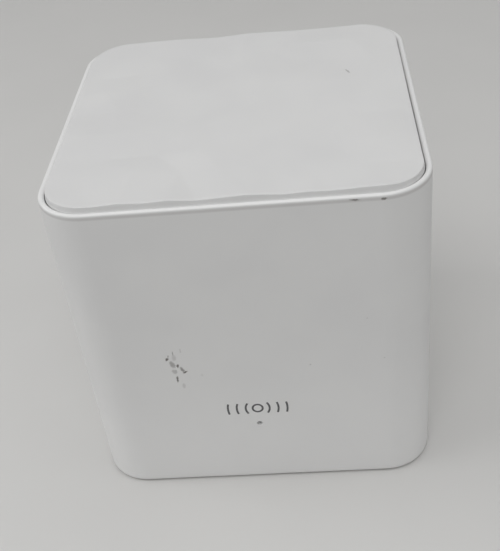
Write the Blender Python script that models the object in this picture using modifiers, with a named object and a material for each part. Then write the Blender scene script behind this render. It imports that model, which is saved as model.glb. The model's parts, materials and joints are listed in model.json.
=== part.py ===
"""Mesh wifi node: a 90 mm white cube that stands on four rubber feet.

A square sleeve with a thin rim holds a faceted top panel. A base plate carries the circuit board,
whose sockets face a recessed port bezel in the rear wall, and a frame above it carries the aerials.

The frame of reference is metres, +Z up, with the origin on the table under the middle of the cube.
The front, with the status light, faces -Y and the sockets face +Y.
"""

import math
import random

import bmesh
import bpy
from mathutils import Matrix, Vector
from mathutils.geometry import delaunay_2d_cdt

MM = 0.001

# Outer sleeve
CUBE = 90.0 * MM
CORNER = 12.2 * MM
WALL = 2.0 * MM
SHELL_BOTTOM = 0.6 * MM
RIM_TOP = 89.4 * MM
RIM_WIDTH = 1.5 * MM
RIM_ROUND = 0.7 * MM
SEAT = 86.0 * MM
LEDGE_DEPTH = 1.6 * MM
LEDGE_INSET = 4.0 * MM

# Clearances between neighbouring pieces
FIT = 0.3 * MM
TOUCH = 0.15 * MM
OVERLAP = 0.5 * MM

# Top panel
PANEL_GAP = 0.4 * MM
PANEL_MEAN = 90.45 * MM
PANEL_RELIEF = 0.30 * MM
PANEL_SKIN = 2.1 * MM
PANEL_SKIRT = 1.7 * MM
FACET_PITCH = 10.5 * MM
FACET_ROWS = 10
FACET_SHAKE = 0.2
FACET_SEED = 4
# Corners of the facets along the panel's front edge: place across and height above the mean, in mm
FRONT_RIDGE = (
    (-43.0, -0.05),
    (-36.0, 0.05),
    (-30.5, -0.10),
    (-24.6, 0.27),
    (-19.5, -0.05),
    (-13.8, 0.28),
    (-6.8, -0.28),
    (3.8, 0.26),
    (11.8, -0.26),
    (16.8, 0.00),
    (21.0, -0.18),
    (25.0, -0.08),
    (30.0, 0.15),
    (33.5, 0.22),
    (38.0, -0.25),
    (43.0, -0.30),
)
HOOK_WIDTH = 10.0 * MM
HOOK_THICK = 1.4 * MM
HOOK_NOSE = 1.5 * MM
HOOK_DEPTH = 1.7 * MM

# Base plate, feet and the screws that hold it
BASE_UNDER = 1.0 * MM
BASE_TOP = 3.2 * MM
BASE_LIP_TOP = 5.2 * MM
BASE_LIP_THICK = 1.4 * MM
BOSS_AT = 34.5 * MM
BOSS_RADIUS = 3.25 * MM
BOSS_TOP = 20.0 * MM
CUP_RADIUS = 6.5 * MM
CUP_TOP = 5.6 * MM
FOOT_RADIUS = 5.0 * MM
FOOT_SEAT = 2.0 * MM
HEAD_RADIUS = 2.3 * MM
HEAD_HEIGHT = 1.5 * MM
SHANK_RADIUS = 0.95 * MM
PILOT_RADIUS = 1.1 * MM
CLEAR_RADIUS = 1.4 * MM
VENT_LENGTH = 15.0 * MM
VENT_WIDTH = 1.7 * MM
VENT_PITCH = 3.8 * MM
VENT_ROWS = 9
VENT_COLUMN_AT = 28.0 * MM
LABEL_SIZE = (36.0 * MM, 26.0 * MM)
LABEL_THICK = 0.2 * MM

# Circuit board
BOARD_HALF = 38.0 * MM
BOARD_CHAMFER = 12.0 * MM
BOARD_UNDER = 8.0 * MM
BOARD_TOP = 9.6 * MM
PART_Z = BOARD_TOP + TOUCH
BOARD_SCREW = (31.5 * MM, 26.0 * MM)
STANDOFF_RADIUS = 2.9 * MM

# Processor and its heat sink
PROCESSOR_SIZE = (14.0 * MM, 14.0 * MM, 1.3 * MM)
PROCESSOR_AT = (0.0, 3.5 * MM)
PAD_THICK = 1.0 * MM
SINK_SIZE = (26.0 * MM, 20.0 * MM, 10.0 * MM)
SINK_BASE = 2.0 * MM
SINK_FINS = 8
SINK_PINS = ((-10.5 * MM, 11.0 * MM), (10.5 * MM, -4.0 * MM))
SINK_PIN_ROOM = 9.0 * MM

# Radios, each a chip under its own shield can
RADIO_CHIP = (9.0 * MM, 9.0 * MM, 0.9 * MM)
RADIO_SHIELD = (18.0 * MM, 20.0 * MM, 3.2 * MM)
RADIO_AT = (19.0 * MM, -17.0 * MM)
SHIELD_SHEET = 0.3 * MM
SHIELD_VENT = 0.8 * MM

# Other components: name, then size across, along and up, then place across and along, then finish
COMPONENTS = (
    ("memory_chip", (8.0, 12.5, 1.1), (0.0, -15.0), "black_plastic"),
    ("flash_chip", (5.3, 6.0, 1.8), (0.0, -27.0), "black_plastic"),
    ("wan_transformer", (12.0, 6.2, 5.5), (5.0, 17.5), "black_plastic"),
    ("lan_transformer", (12.0, 6.2, 5.5), (-12.5, 17.5), "black_plastic"),
    ("power_inductor", (7.3, 7.3, 4.0), (22.0, 7.0), "grey_plastic"),
    ("crystal", (11.0, 4.6, 3.5), (-21.0, 2.0), "steel"),
)
# Electrolytic capacitors: name, radius, height, place across and along
CAPACITORS = (
    ("capacitor_input", 4.0, 11.0, (22.0, 18.5)),
    ("capacitor_output", 3.15, 8.0, (31.0, 12.0)),
    ("capacitor_radio", 3.15, 8.0, (-27.0, 16.0)),
)

# Rear port bezel
WINDOW = (59.0 * MM, 21.0 * MM)
WINDOW_CORNER = 2.0 * MM
PORT_Z = 16.0 * MM
BEZEL_FACE = 41.5 * MM
BEZEL_FLOOR = 1.5 * MM
BEZEL_WALL = 1.2 * MM
BEZEL_FLANGE = 2.5 * MM
WAN_X = 5.0 * MM
LAN_X = -12.5 * MM
POWER_X = 21.5 * MM
RESET_X = -24.5 * MM

# Network socket
JACK_SIZE = (15.6 * MM, 20.0 * MM, 12.4 * MM)
JACK_FRONT = 41.2 * MM
JACK_SHEET = 0.4 * MM
PLUG_WIDTH = 11.9 * MM
PLUG_HEIGHT = 7.0 * MM
PLUG_DEPTH = 14.0 * MM
LATCH_WIDTH = 6.2 * MM
LATCH_HEIGHT = 2.0 * MM
CONTACT_COUNT = 8
CONTACT_PITCH = 1.02 * MM
CONTACT_WIRE = 0.4 * MM
CONTACT_DROP = 2.6 * MM
CONTACT_REACH = 8.5 * MM
CONTACT_BAR = 1.6 * MM

# Power socket
POWER_SIZE = (9.0 * MM, 14.2 * MM, 11.0 * MM)
POWER_FRONT = 41.2 * MM
POWER_BORE = 3.1 * MM
POWER_DEPTH = 9.0 * MM
POWER_PIN = 1.0 * MM
POWER_LEAF = (1.8 * MM, 7.0 * MM, 0.3 * MM)

# Reset button
BUTTON_RADIUS = 1.7 * MM
BUTTON_PROUD = 0.7 * MM
BUTTON_FLANGE = 2.6 * MM
FLANGE_THICK = 1.1 * MM
PLUNGER_RADIUS = 1.6 * MM
PLUNGER_SUNK = 1.5 * MM
SWITCH_FRONT = 35.8 * MM
SWITCH_SIZE = 6.0 * MM
SWITCH_DEPTH = 3.8 * MM
SWITCH_WELL = 2.5 * MM

# Status light
LIGHT_Z = 21.0 * MM
LIGHT_HOLE = 0.75 * MM
LIGHT_PIPE = 1.0 * MM
LED_SIZE = (1.6 * MM, 0.8 * MM, 0.7 * MM)
LED_Y = -35.5 * MM

# Aerial frame, aerials and their leads
FRAME_HALF = 36.0 * MM
FRAME_WALL = 1.8 * MM
FRAME_RAIL = 30.0 * MM
FRAME_TOP = 80.0 * MM
LEG_WIDTH = 9.0 * MM
TAB_THICK = 2.0 * MM
TAB_REACH = 3.0 * MM
AERIAL_SIZE = (36.0 * MM, 0.8 * MM, 10.0 * MM)
AERIAL_Z = 68.0 * MM
LEAD_RADIUS = 0.57 * MM
LEAD_PLUG = 1.4 * MM
# Each aerial: name, quarter turns from the right side, where its lead starts along the strip, lead's plug
AERIALS = (
    ("right", 0, 0.0, (31.5, -12.0)),
    ("rear", 1, 24.0, (-31.0, 5.0)),
    ("left", 2, 0.0, (-31.5, -12.0)),
    ("front", 3, -12.0, (-9.0, -31.5)),
)

# Colour, roughness and metallic value of each kind of material
FINISHES = {
    "white_plastic": ((0.80, 0.80, 0.79), 0.45, 0.0),
    "pale_plastic": ((0.72, 0.72, 0.71), 0.5, 0.0),
    "grey_plastic": ((0.38, 0.38, 0.39), 0.5, 0.0),
    "black_plastic": ((0.03, 0.03, 0.03), 0.4, 0.0),
    "rubber": ((0.30, 0.30, 0.30), 0.9, 0.0),
    "board": ((0.02, 0.20, 0.10), 0.4, 0.0),
    "steel": ((0.62, 0.62, 0.64), 0.3, 1.0),
    "aluminium": ((0.75, 0.75, 0.77), 0.35, 1.0),
    "gold": ((0.85, 0.65, 0.25), 0.25, 1.0),
    "clear": ((0.85, 0.88, 0.90), 0.1, 0.0),
    "paper": ((0.78, 0.78, 0.76), 0.7, 0.0),
    "pad": ((0.55, 0.60, 0.68), 0.9, 0.0),
}

AXIS_TURN = {
    "X": Matrix.Rotation(math.radians(90), 4, "Y"),
    "Y": Matrix.Rotation(math.radians(-90), 4, "X"),
    "Z": Matrix.Identity(4),
}
CORNERS = {
    "front_left": (-1, -1),
    "front_right": (1, -1),
    "rear_left": (-1, 1),
    "rear_right": (1, 1),
}


def clear_scene():
    for obj in list(bpy.data.objects):
        bpy.data.objects.remove(obj)


def collection(name):
    made = bpy.data.collections.new(name)
    bpy.context.scene.collection.children.link(made)
    return made


def empty(name, at=(0, 0, 0)):
    made = bpy.data.objects.new(name, None)
    made.location = at
    PARTS.objects.link(made)
    return made


def place(name, bm, at, axis="Z"):
    """A mesh object from a bmesh, whose local Z is turned to the given axis."""
    mesh = bpy.data.meshes.new(name)
    bmesh.ops.transform(bm, matrix=AXIS_TURN[axis], verts=bm.verts)
    bm.to_mesh(mesh)
    bm.free()
    made = bpy.data.objects.new(name, mesh)
    made.location = at
    PARTS.objects.link(made)
    return made


def box(name, size, at):
    bm = bmesh.new()
    bmesh.ops.create_cube(bm, size=1.0, matrix=Matrix.Diagonal((*size, 1.0)))
    return place(name, bm, at)


def block(name, low, high):
    """A box between two corners."""
    low, high = Vector(low), Vector(high)
    return box(name, high - low, (low + high) / 2)


def rod(name, radius, start, length, axis="Z", sides=24):
    """A cylinder that runs from start along the axis."""
    bm = bmesh.new()
    shift = Matrix.Translation((0, 0, length / 2))
    bmesh.ops.create_cone(
        bm, cap_ends=True, segments=sides, radius1=radius, radius2=radius, depth=length, matrix=shift
    )
    return place(name, bm, start, axis)


def turned(name, profile, at, axis="Z", sides=24):
    """A solid of revolution. The profile lists (radius, height) from the top of the axis to its foot."""
    bm = bmesh.new()
    points = [bm.verts.new((radius, 0, height)) for radius, height in profile]
    for upper, lower in zip(points, points[1:]):
        bm.edges.new((upper, lower))
    made = place(name, bm, at)
    made.rotation_euler = AXIS_TURN[axis].to_euler()
    screw = made.modifiers.new("turn", "SCREW")
    screw.steps = screw.render_steps = sides
    screw.use_merge_vertices = True
    screw.merge_threshold = 0.00001
    screw.use_smooth_shade = True
    return made


def rounded_outline(half_x, half_y, radius, steps=8):
    """Corner points of a rectangle with round corners, counter-clockwise."""
    points = []
    for quarter, (sx, sy) in enumerate(((1, 1), (-1, 1), (-1, -1), (1, -1))):
        for step in range(steps + 1):
            angle = math.radians(90 * (quarter + step / steps))
            x = sx * (half_x - radius) + radius * math.cos(angle)
            y = sy * (half_y - radius) + radius * math.sin(angle)
            points.append((x, y))
    return points


def as_mesh(curve):
    """Turns a curve object into a mesh object with its caps welded on, so that it can be cut."""
    bpy.context.view_layer.update()
    graph = bpy.context.evaluated_depsgraph_get()
    mesh = bpy.data.meshes.new_from_object(curve.evaluated_get(graph))
    bm = bmesh.new()
    bm.from_mesh(mesh)
    bmesh.ops.remove_doubles(bm, verts=bm.verts, dist=0.000001)
    bm.to_mesh(mesh)
    bm.free()
    made = bpy.data.objects.new(curve.name, mesh)
    made.matrix_world = curve.matrix_world
    name = curve.name
    bpy.data.objects.remove(curve)
    PARTS.objects.link(made)
    made.name = name
    return made


def slab(name, outline, thick, centre, axis="Z"):
    """A flat plate of the given outline, centred on a point and facing along the axis."""
    data = bpy.data.curves.new(name, "CURVE")
    data.dimensions = "2D"
    data.fill_mode = "BOTH"
    data.extrude = thick / 2
    spline = data.splines.new("POLY")
    spline.points.add(len(outline) - 1)
    for point, (x, y) in zip(spline.points, outline):
        point.co = (x, y, 0, 1)
    spline.use_cyclic_u = True
    made = bpy.data.objects.new(name, data)
    made.location = centre
    made.rotation_euler = AXIS_TURN[axis].to_euler()
    PARTS.objects.link(made)
    return as_mesh(made)


def level_slab(name, outline, low, high):
    """A flat plate between two heights."""
    return slab(name, outline, high - low, (0, 0, (low + high) / 2))


def tube(name, path, radius, tip=None):
    """A round wire along a path of points; tip sets the radius from the last but one point on."""
    data = bpy.data.curves.new(name, "CURVE")
    data.dimensions = "3D"
    data.bevel_depth = radius
    data.bevel_resolution = 2
    data.use_fill_caps = True
    spline = data.splines.new("POLY")
    spline.points.add(len(path) - 1)
    for point, place_at in zip(spline.points, path):
        point.co = (*place_at, 1)
    if tip:
        for point in list(spline.points)[-2:]:
            point.radius = tip / radius
    made = bpy.data.objects.new(name, data)
    PARTS.objects.link(made)
    return as_mesh(made)


def bend(start, corner, end, radius, steps=5):
    """A path from start to end that turns at corner along an arc."""
    start, corner, end = Vector(start), Vector(corner), Vector(end)
    before, after = (start - corner).normalized(), (end - corner).normalized()
    middle = (before + after).normalized()
    half_angle = before.angle(after) / 2
    reach = min(radius / math.tan(half_angle), (start - corner).length, (end - corner).length)
    radius = reach * math.tan(half_angle)
    centre = corner + middle * (radius / math.sin(half_angle))
    first = (corner + before * reach - centre).normalized()
    last = (corner + after * reach - centre).normalized()
    arc = [centre + first.slerp(last, step / steps) * radius for step in range(steps + 1)]
    return [start, *arc, end]


def helper(obj):
    """Hides a cutter or a piece that is joined to another."""
    PARTS.objects.unlink(obj)
    HELPERS.objects.link(obj)
    obj.hide_render = True
    obj.display_type = "WIRE"
    return obj


def combine(target, others, operation):
    for other in others:
        boolean = target.modifiers.new(other.name, "BOOLEAN")
        boolean.operation = operation
        boolean.object = helper(other)
    return target


def cut(target, *cutters):
    return combine(target, cutters, "DIFFERENCE")


def join(target, *others):
    return combine(target, others, "UNION")


def keep_common(target, other):
    return combine(target, [other], "INTERSECT")


def round_edges(obj, width, segments=2, sharper_than=40):
    bevel = obj.modifiers.new("round_edges", "BEVEL")
    bevel.width = width
    bevel.segments = segments
    bevel.limit_method = "ANGLE"
    bevel.angle_limit = math.radians(sharper_than)
    return obj


def finish(obj, kind, owner):
    """Gives a piece its own material and hangs it on its owner."""
    colour, roughness, metallic = FINISHES[kind]
    made = bpy.data.materials.new(obj.name)
    made.use_nodes = True
    surface = made.node_tree.nodes["Principled BSDF"]
    surface.inputs["Base Color"].default_value = (*colour, 1.0)
    surface.inputs["Roughness"].default_value = roughness
    surface.inputs["Metallic"].default_value = metallic
    obj.data.materials.clear()
    obj.data.materials.append(made)
    obj.data.shade_smooth()
    obj.data.set_sharp_from_angle(angle=math.radians(35))
    bpy.context.view_layer.update()
    world = obj.matrix_world.copy()
    obj.parent = owner
    obj.matrix_parent_inverse = owner.matrix_world.inverted()
    obj.matrix_world = world
    return obj


# ---------------------------------------------------------------- casing


def plan(inset):
    """The cube's outline seen from above, moved inwards."""
    half = CUBE / 2 - inset
    return rounded_outline(half, half, CORNER - inset)


def sleeve_wall():
    """The open surface of the sleeve's outside, made thick inwards, with round edges."""
    bm = bmesh.new()
    ring = [bm.verts.new((x, y, SHELL_BOTTOM)) for x, y in plan(0)]
    edges = [bm.edges.new((a, b)) for a, b in zip(ring, ring[1:] + ring[:1])]
    raised = bmesh.ops.extrude_edge_only(bm, edges=edges)["geom"]
    upper = [item for item in raised if isinstance(item, bmesh.types.BMVert)]
    bmesh.ops.translate(bm, vec=(0, 0, RIM_TOP - SHELL_BOTTOM), verts=upper)
    bmesh.ops.recalc_face_normals(bm, faces=bm.faces)
    shell = place("outer_shell", bm, (0, 0, 0))
    thicken = shell.modifiers.new("wall", "SOLIDIFY")
    thicken.thickness = WALL
    thicken.offset = -1
    thicken.use_even_offset = True
    return round_edges(shell, RIM_ROUND, segments=3)


def outer_shell(owner):
    shell = sleeve_wall()
    ledge = level_slab("panel_ledge", plan(WALL - OVERLAP), SEAT - LEDGE_DEPTH, SEAT)
    cut(ledge, level_slab("ledge_opening", plan(LEDGE_INSET), SEAT - 3 * LEDGE_DEPTH, SEAT + LEDGE_DEPTH))
    cut(shell, level_slab("panel_recess", plan(RIM_WIDTH), SEAT, RIM_TOP + WALL))
    join(shell, ledge)
    rib_length = 8.0 * MM
    boss_bottom = CUP_TOP + FIT
    for corner, (sx, sy) in CORNERS.items():
        at = (sx * BOSS_AT, sy * BOSS_AT, boss_bottom)
        rib_height = BOSS_TOP - boss_bottom
        rib = box(f"rib_{corner}", (rib_length, 1.6 * MM, rib_height), (0, 0, 0))
        outwards = Vector((sx, sy, 0)).normalized()
        rib.rotation_euler.z = math.atan2(sy, sx)
        rib.location = Vector(at) + outwards * (rib_length / 2) + Vector((0, 0, rib_height / 2))
        join(shell, rib, rod(f"boss_{corner}", BOSS_RADIUS, at, rib_height))
        cut(shell, rod(f"boss_pilot_{corner}", PILOT_RADIUS, (*at[:2], 0), BOSS_TOP - 3 * MM, sides=16))
    window = rounded_outline(WINDOW[0] / 2, WINDOW[1] / 2, WINDOW_CORNER, steps=4)
    cut(shell, slab("port_window", window, 4 * WALL, (0, CUBE / 2, PORT_Z), axis="Y"))
    cut(shell, rod("light_hole", LIGHT_HOLE, (0, -CUBE / 2 - WALL, LIGHT_Z), 4 * WALL, axis="Y"))
    return finish(shell, "white_plastic", owner)


def facet_corners():
    """A shaken grid of facet corners, with a row of its own along the panel's front edge."""
    chance = random.Random(FACET_SEED)
    reach = FACET_PITCH * FACET_ROWS / 2
    front = RIM_WIDTH - CUBE / 2
    corners = []
    for row in range(FACET_ROWS + 1):
        stagger = FACET_PITCH / 4 if row % 2 else -FACET_PITCH / 4
        for column in range(FACET_ROWS + 1):
            x = FACET_PITCH * (column + chance.uniform(-FACET_SHAKE, FACET_SHAKE)) + stagger - reach
            y = FACET_PITCH * (row + chance.uniform(-FACET_SHAKE, FACET_SHAKE)) - reach
            z = PANEL_MEAN + chance.uniform(-1, 1) * PANEL_RELIEF
            if y > front + FACET_PITCH / 2:
                corners.append(Vector((x, y, z)))
    corners += [Vector((x * MM, front, PANEL_MEAN + rise * MM)) for x, rise in FRONT_RIDGE]
    corners += [Vector((side * reach, front, PANEL_MEAN)) for side in (-1, 1)]
    return corners


def relief_block(bottom):
    """A block whose top is a sheet of tilted triangles, for the panel's faceted face."""
    corners = facet_corners()
    flat = [corner.to_2d() for corner in corners]
    triangles = delaunay_2d_cdt(flat, [], [], 0, 1e-6)[2]
    bm = bmesh.new()
    verts = [bm.verts.new(corner) for corner in corners]
    sheet = [bm.faces.new([verts[index] for index in triangle]) for triangle in triangles]
    lowered = bmesh.ops.extrude_face_region(bm, geom=sheet, use_keep_orig=True)["geom"]
    for vert in [item for item in lowered if isinstance(item, bmesh.types.BMVert)]:
        vert.co.z = bottom
    bmesh.ops.recalc_face_normals(bm, faces=bm.faces)
    return place("panel_relief", bm, (0, 0, 0))


def top_panel(owner):
    """The panel stands on the ledge, proud of the rim, and four hooks hold it under the ledge."""
    inset = RIM_WIDTH + PANEL_GAP
    low = SEAT + FIT
    panel = level_slab("top_panel", plan(inset), low, PANEL_MEAN + 3 * PANEL_RELIEF)
    keep_common(panel, relief_block(low - WALL))
    hollow = plan(inset + PANEL_SKIRT)
    cut(panel, level_slab("panel_hollow", hollow, low - WALL, PANEL_MEAN - PANEL_SKIN))
    hook_face = CUBE / 2 - LEDGE_INSET - FIT
    hook_top = PANEL_MEAN - PANEL_SKIN + OVERLAP
    nose_top = SEAT - LEDGE_DEPTH - FIT
    nose_bottom = nose_top - HOOK_DEPTH
    for turn in range(4):
        inner = hook_face - HOOK_THICK
        leg = block(
            f"hook_leg_{turn}", (inner, -HOOK_WIDTH / 2, nose_bottom), (hook_face, HOOK_WIDTH / 2, hook_top)
        )
        nose = block(
            f"hook_nose_{turn}",
            (hook_face - OVERLAP, -HOOK_WIDTH / 2, nose_bottom),
            (hook_face + HOOK_NOSE, HOOK_WIDTH / 2, nose_top),
        )
        for piece in (leg, nose):
            piece.data.transform(Matrix.Translation(piece.location))
            piece.location = (0, 0, 0)
            piece.rotation_euler.z = math.radians(90 * turn)
        join(panel, leg, nose)
    return finish(panel, "white_plastic", owner)


def base_plate(owner):
    inset = WALL + FIT
    base = level_slab("base_plate", plan(inset), BASE_UNDER, BASE_LIP_TOP)
    cut(base, level_slab("base_inside", plan(inset + BASE_LIP_THICK), BASE_TOP, CUP_TOP + WALL))
    for corner, (sx, sy) in CORNERS.items():
        x, y = sx * BOSS_AT, sy * BOSS_AT
        cup_bottom = BASE_UNDER + OVERLAP
        join(base, rod(f"cup_{corner}", CUP_RADIUS, (x, y, cup_bottom), CUP_TOP - cup_bottom))
        cut(
            base,
            rod(f"foot_seat_{corner}", FOOT_RADIUS + FIT, (x, y, 0), FOOT_SEAT),
            rod(f"head_seat_{corner}", HEAD_RADIUS + FIT, (x, y, 0), FOOT_SEAT + TOUCH + HEAD_HEIGHT + TOUCH),
            rod(f"screw_hole_{corner}", CLEAR_RADIUS, (x, y, 0), CUP_TOP + WALL, sides=16),
        )
        sx_at, sy_at = sx * BOARD_SCREW[0], sy * BOARD_SCREW[1]
        low = BASE_TOP - OVERLAP
        join(base, rod(f"standoff_{corner}", STANDOFF_RADIUS, (sx_at, sy_at, low), BOARD_UNDER - FIT - low))
        pilot_at = (sx_at, sy_at, BASE_TOP)
        cut(base, rod(f"standoff_pilot_{corner}", PILOT_RADIUS, pilot_at, BOARD_UNDER, sides=16))
    for side in (-1, 1):
        for row in range(VENT_ROWS):
            y = (row - (VENT_ROWS - 1) / 2) * VENT_PITCH
            at = (side * VENT_COLUMN_AT, y, BASE_TOP)
            cut(base, box(f"vent_{side}_{row}", (VENT_LENGTH, VENT_WIDTH, 4 * BASE_TOP), at))
    label_room = (LABEL_SIZE[0] + 2 * FIT, LABEL_SIZE[1] + 2 * FIT, 2 * (LABEL_THICK + TOUCH))
    cut(base, box("label_recess", label_room, (0, 0, BASE_UNDER)))
    return finish(base, "pale_plastic", owner)


def rating_label(owner):
    size = (*LABEL_SIZE, LABEL_THICK)
    label = box("rating_label", size, (0, 0, BASE_UNDER + LABEL_THICK / 2))
    return finish(label, "paper", owner)


def rubber_foot(corner, owner):
    sx, sy = CORNERS[corner]
    soft = 0.4 * MM
    profile = (
        (0, FOOT_SEAT - TOUCH),
        (FOOT_RADIUS, FOOT_SEAT - TOUCH),
        (FOOT_RADIUS, soft),
        (FOOT_RADIUS - soft, 0),
        (0, 0),
    )
    foot = turned(f"foot_{corner}", profile, (sx * BOSS_AT, sy * BOSS_AT, 0), sides=28)
    return finish(foot, "rubber", owner)


def screw(name, seat, length, points_up, owner):
    """A round-headed screw with a cross recess. Its head rests on seat and its shank runs length beyond."""
    dome = 0.4 * MM
    profile = (
        (0, HEAD_HEIGHT),
        (HEAD_RADIUS - dome, HEAD_HEIGHT),
        (HEAD_RADIUS, HEAD_HEIGHT - dome),
        (HEAD_RADIUS, 0),
        (SHANK_RADIUS, 0),
        (SHANK_RADIUS, SHANK_RADIUS - length),
        (0, -length),
    )
    made = turned(name, profile, seat, sides=16)
    turn = math.pi if points_up else 0
    made.rotation_euler.x = turn
    depth = Vector((0, 0, HEAD_HEIGHT))
    if points_up:
        depth = -depth
    recess = 0.9 * MM
    for slot, size in enumerate(((0.6 * MM, 2.6 * MM), (2.6 * MM, 0.6 * MM))):
        cut(made, box(f"{name}_slot_{slot}", (*size, 2 * recess), Vector(seat) + depth))
    return finish(made, "steel", owner)


def base_screw(corner, owner):
    sx, sy = CORNERS[corner]
    seat = (sx * BOSS_AT, sy * BOSS_AT, FOOT_SEAT + TOUCH + HEAD_HEIGHT)
    return screw(f"base_screw_{corner}", seat, 10 * MM, True, owner)


def port_bezel(owner):
    """A tray in the rear window, with a flange behind the wall and an opening for each socket."""
    half_x, half_z = WINDOW[0] / 2 - FIT, WINDOW[1] / 2 - FIT
    inside = BEZEL_FACE - BEZEL_FLOOR
    outside = CUBE / 2 - 2 * FIT
    tray = slab(
        "port_bezel",
        rounded_outline(half_x, half_z, WINDOW_CORNER - FIT, steps=4),
        outside - inside,
        (0, (inside + outside) / 2, PORT_Z),
        axis="Y",
    )
    hollow_depth = 2 * (outside - BEZEL_FACE)
    hollow = rounded_outline(half_x - BEZEL_WALL, half_z - BEZEL_WALL, 0.8 * MM, steps=4)
    flange_y = (CUBE / 2 - WALL - FIT) - BEZEL_WALL / 2
    flange = rounded_outline(half_x + BEZEL_FLANGE, half_z + BEZEL_FLANGE / 2, WINDOW_CORNER, steps=4)
    lift = (0, flange_y, PORT_Z + BEZEL_FLANGE / 2)
    join(tray, slab("bezel_flange", flange, BEZEL_WALL, lift, axis="Y"))
    cut(tray, slab("bezel_hollow", hollow, hollow_depth, (0, outside, PORT_Z), axis="Y"))
    sockets = (("wan", WAN_X, JACK_SIZE), ("lan", LAN_X, JACK_SIZE), ("power", POWER_X, POWER_SIZE))
    for name, x, size in sockets:
        room = (size[0] + 2 * FIT, 4 * BEZEL_FLOOR, size[2] + 2 * FIT)
        cut(tray, box(f"{name}_opening", room, (x, BEZEL_FACE, PART_Z + size[2] / 2)))
    behind = (RESET_X, BEZEL_FACE - 2 * BEZEL_FLOOR, PORT_Z)
    cut(tray, rod("reset_opening", BUTTON_RADIUS + FIT, behind, 4 * BEZEL_FLOOR, axis="Y"))
    return finish(tray, "grey_plastic", owner)


# ---------------------------------------------------------------- circuit board


def main_board(owner):
    edge, corner = BOARD_HALF, BOARD_HALF - BOARD_CHAMFER
    outline = []
    for sx, sy in ((1, 1), (-1, 1), (-1, -1), (1, -1)):
        pair = [(sx * edge, sy * corner), (sx * corner, sy * edge)]
        outline += pair if sx == sy else pair[::-1]
    board = level_slab("main_board", outline, BOARD_UNDER, BOARD_TOP)
    for corner_name, (sx, sy) in CORNERS.items():
        at = (sx * BOARD_SCREW[0], sy * BOARD_SCREW[1], 0)
        cut(board, rod(f"board_hole_{corner_name}", CLEAR_RADIUS, at, 2 * BOARD_TOP, sides=16))
    for index, (x, y) in enumerate(SINK_PINS):
        cut(board, rod(f"pin_hole_{index}", CLEAR_RADIUS, (x, y, 0), 2 * BOARD_TOP, sides=16))
    return finish(board, "board", owner)


def board_screw(corner, owner):
    sx, sy = CORNERS[corner]
    tab_top = PART_Z + TAB_THICK
    seat = (sx * BOARD_SCREW[0], sy * BOARD_SCREW[1], tab_top + TOUCH)
    return screw(f"board_screw_{corner}", seat, tab_top - BASE_TOP - MM, False, owner)


def chip(name, size, at, owner, kind="black_plastic", raised=0.0):
    """A component body that stands on the board."""
    x, y = at
    made = box(name, size, (x, y, PART_Z + raised + size[2] / 2))
    round_edges(made, 0.15 * MM, segments=1)
    return finish(made, kind, owner)


def shield_can(name, size, at, owner):
    """A sheet metal can, open at the board."""
    x, y = at
    made = box(name, size, (x, y, PART_Z + size[2] / 2))
    inner = (size[0] - 2 * SHIELD_SHEET, size[1] - 2 * SHIELD_SHEET, 2 * (size[2] - SHIELD_SHEET))
    cut(made, box(f"{name}_inside", inner, (x, y, PART_Z)))
    for index, offset in enumerate((-0.3, 0.3)):
        vent_at = (x + offset * size[0], y, PART_Z + size[2] - SHIELD_VENT)
        cut(made, rod(f"{name}_vent_{index}", SHIELD_VENT, vent_at, 2 * SHIELD_VENT, sides=12))
    return finish(made, "steel", owner)


def capacitor(name, radius, height, at, owner):
    groove = 0.35 * MM
    profile = (
        (0, height),
        (radius - groove, height),
        (radius, height - groove),
        (radius, 0.22 * height),
        (radius - groove, 0.17 * height),
        (radius, 0.12 * height),
        (radius, 0),
        (0, 0),
    )
    made = turned(name, profile, (*at, PART_Z), sides=20)
    return finish(made, "aluminium", owner)


def heat_sink(owner):
    x, y = PROCESSOR_AT
    bottom = PART_Z + PROCESSOR_SIZE[2] + PAD_THICK + 2 * TOUCH
    sink = box("heat_sink", SINK_SIZE, (x, y, bottom + SINK_SIZE[2] / 2))
    pitch = SINK_SIZE[0] / (SINK_FINS - 0.5)
    fin_low = bottom + SINK_BASE
    for gap in range(SINK_FINS - 1):
        at = (x - SINK_SIZE[0] / 2 + pitch * (gap + 0.75), y, fin_low + SINK_SIZE[2] / 2)
        cut(sink, box(f"fin_gap_{gap}", (pitch / 2, 2 * SINK_SIZE[1], SINK_SIZE[2]), at))
    shift = SINK_PIN_ROOM / 6
    for index, (pin_x, pin_y) in enumerate(SINK_PINS):
        beyond_x = math.copysign(shift, pin_x - x)
        beyond_y = math.copysign(shift, pin_y - y)
        at = (pin_x + beyond_x, pin_y + beyond_y, fin_low + SINK_SIZE[2] / 2)
        cut(sink, box(f"pin_room_{index}", (SINK_PIN_ROOM, SINK_PIN_ROOM, SINK_SIZE[2]), at))
        cut(sink, rod(f"sink_hole_{index}", CLEAR_RADIUS, (pin_x, pin_y, 0), 2 * fin_low, sides=16))
    return finish(sink, "aluminium", owner)


def sink_pin(index, owner):
    """A push pin that clips the heat sink to the board."""
    x, y = SINK_PINS[index]
    seat = PART_Z + PROCESSOR_SIZE[2] + PAD_THICK + SINK_BASE + 3 * TOUCH
    barb = BOARD_UNDER - seat - TOUCH
    shank = 1.1 * MM
    profile = (
        (0, 1.6 * MM),
        (1.6 * MM, 1.6 * MM),
        (2.0 * MM, 0.9 * MM),
        (2.0 * MM, 0),
        (shank, 0),
        (shank, barb),
        (1.7 * MM, barb),
        (0.6 * MM, barb - 1.8 * MM),
        (0, barb - 1.8 * MM),
    )
    made = turned(f"heat_sink_pin_{index + 1}", profile, (x, y, seat), sides=16)
    return finish(made, "white_plastic", owner)


# ---------------------------------------------------------------- sockets


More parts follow.
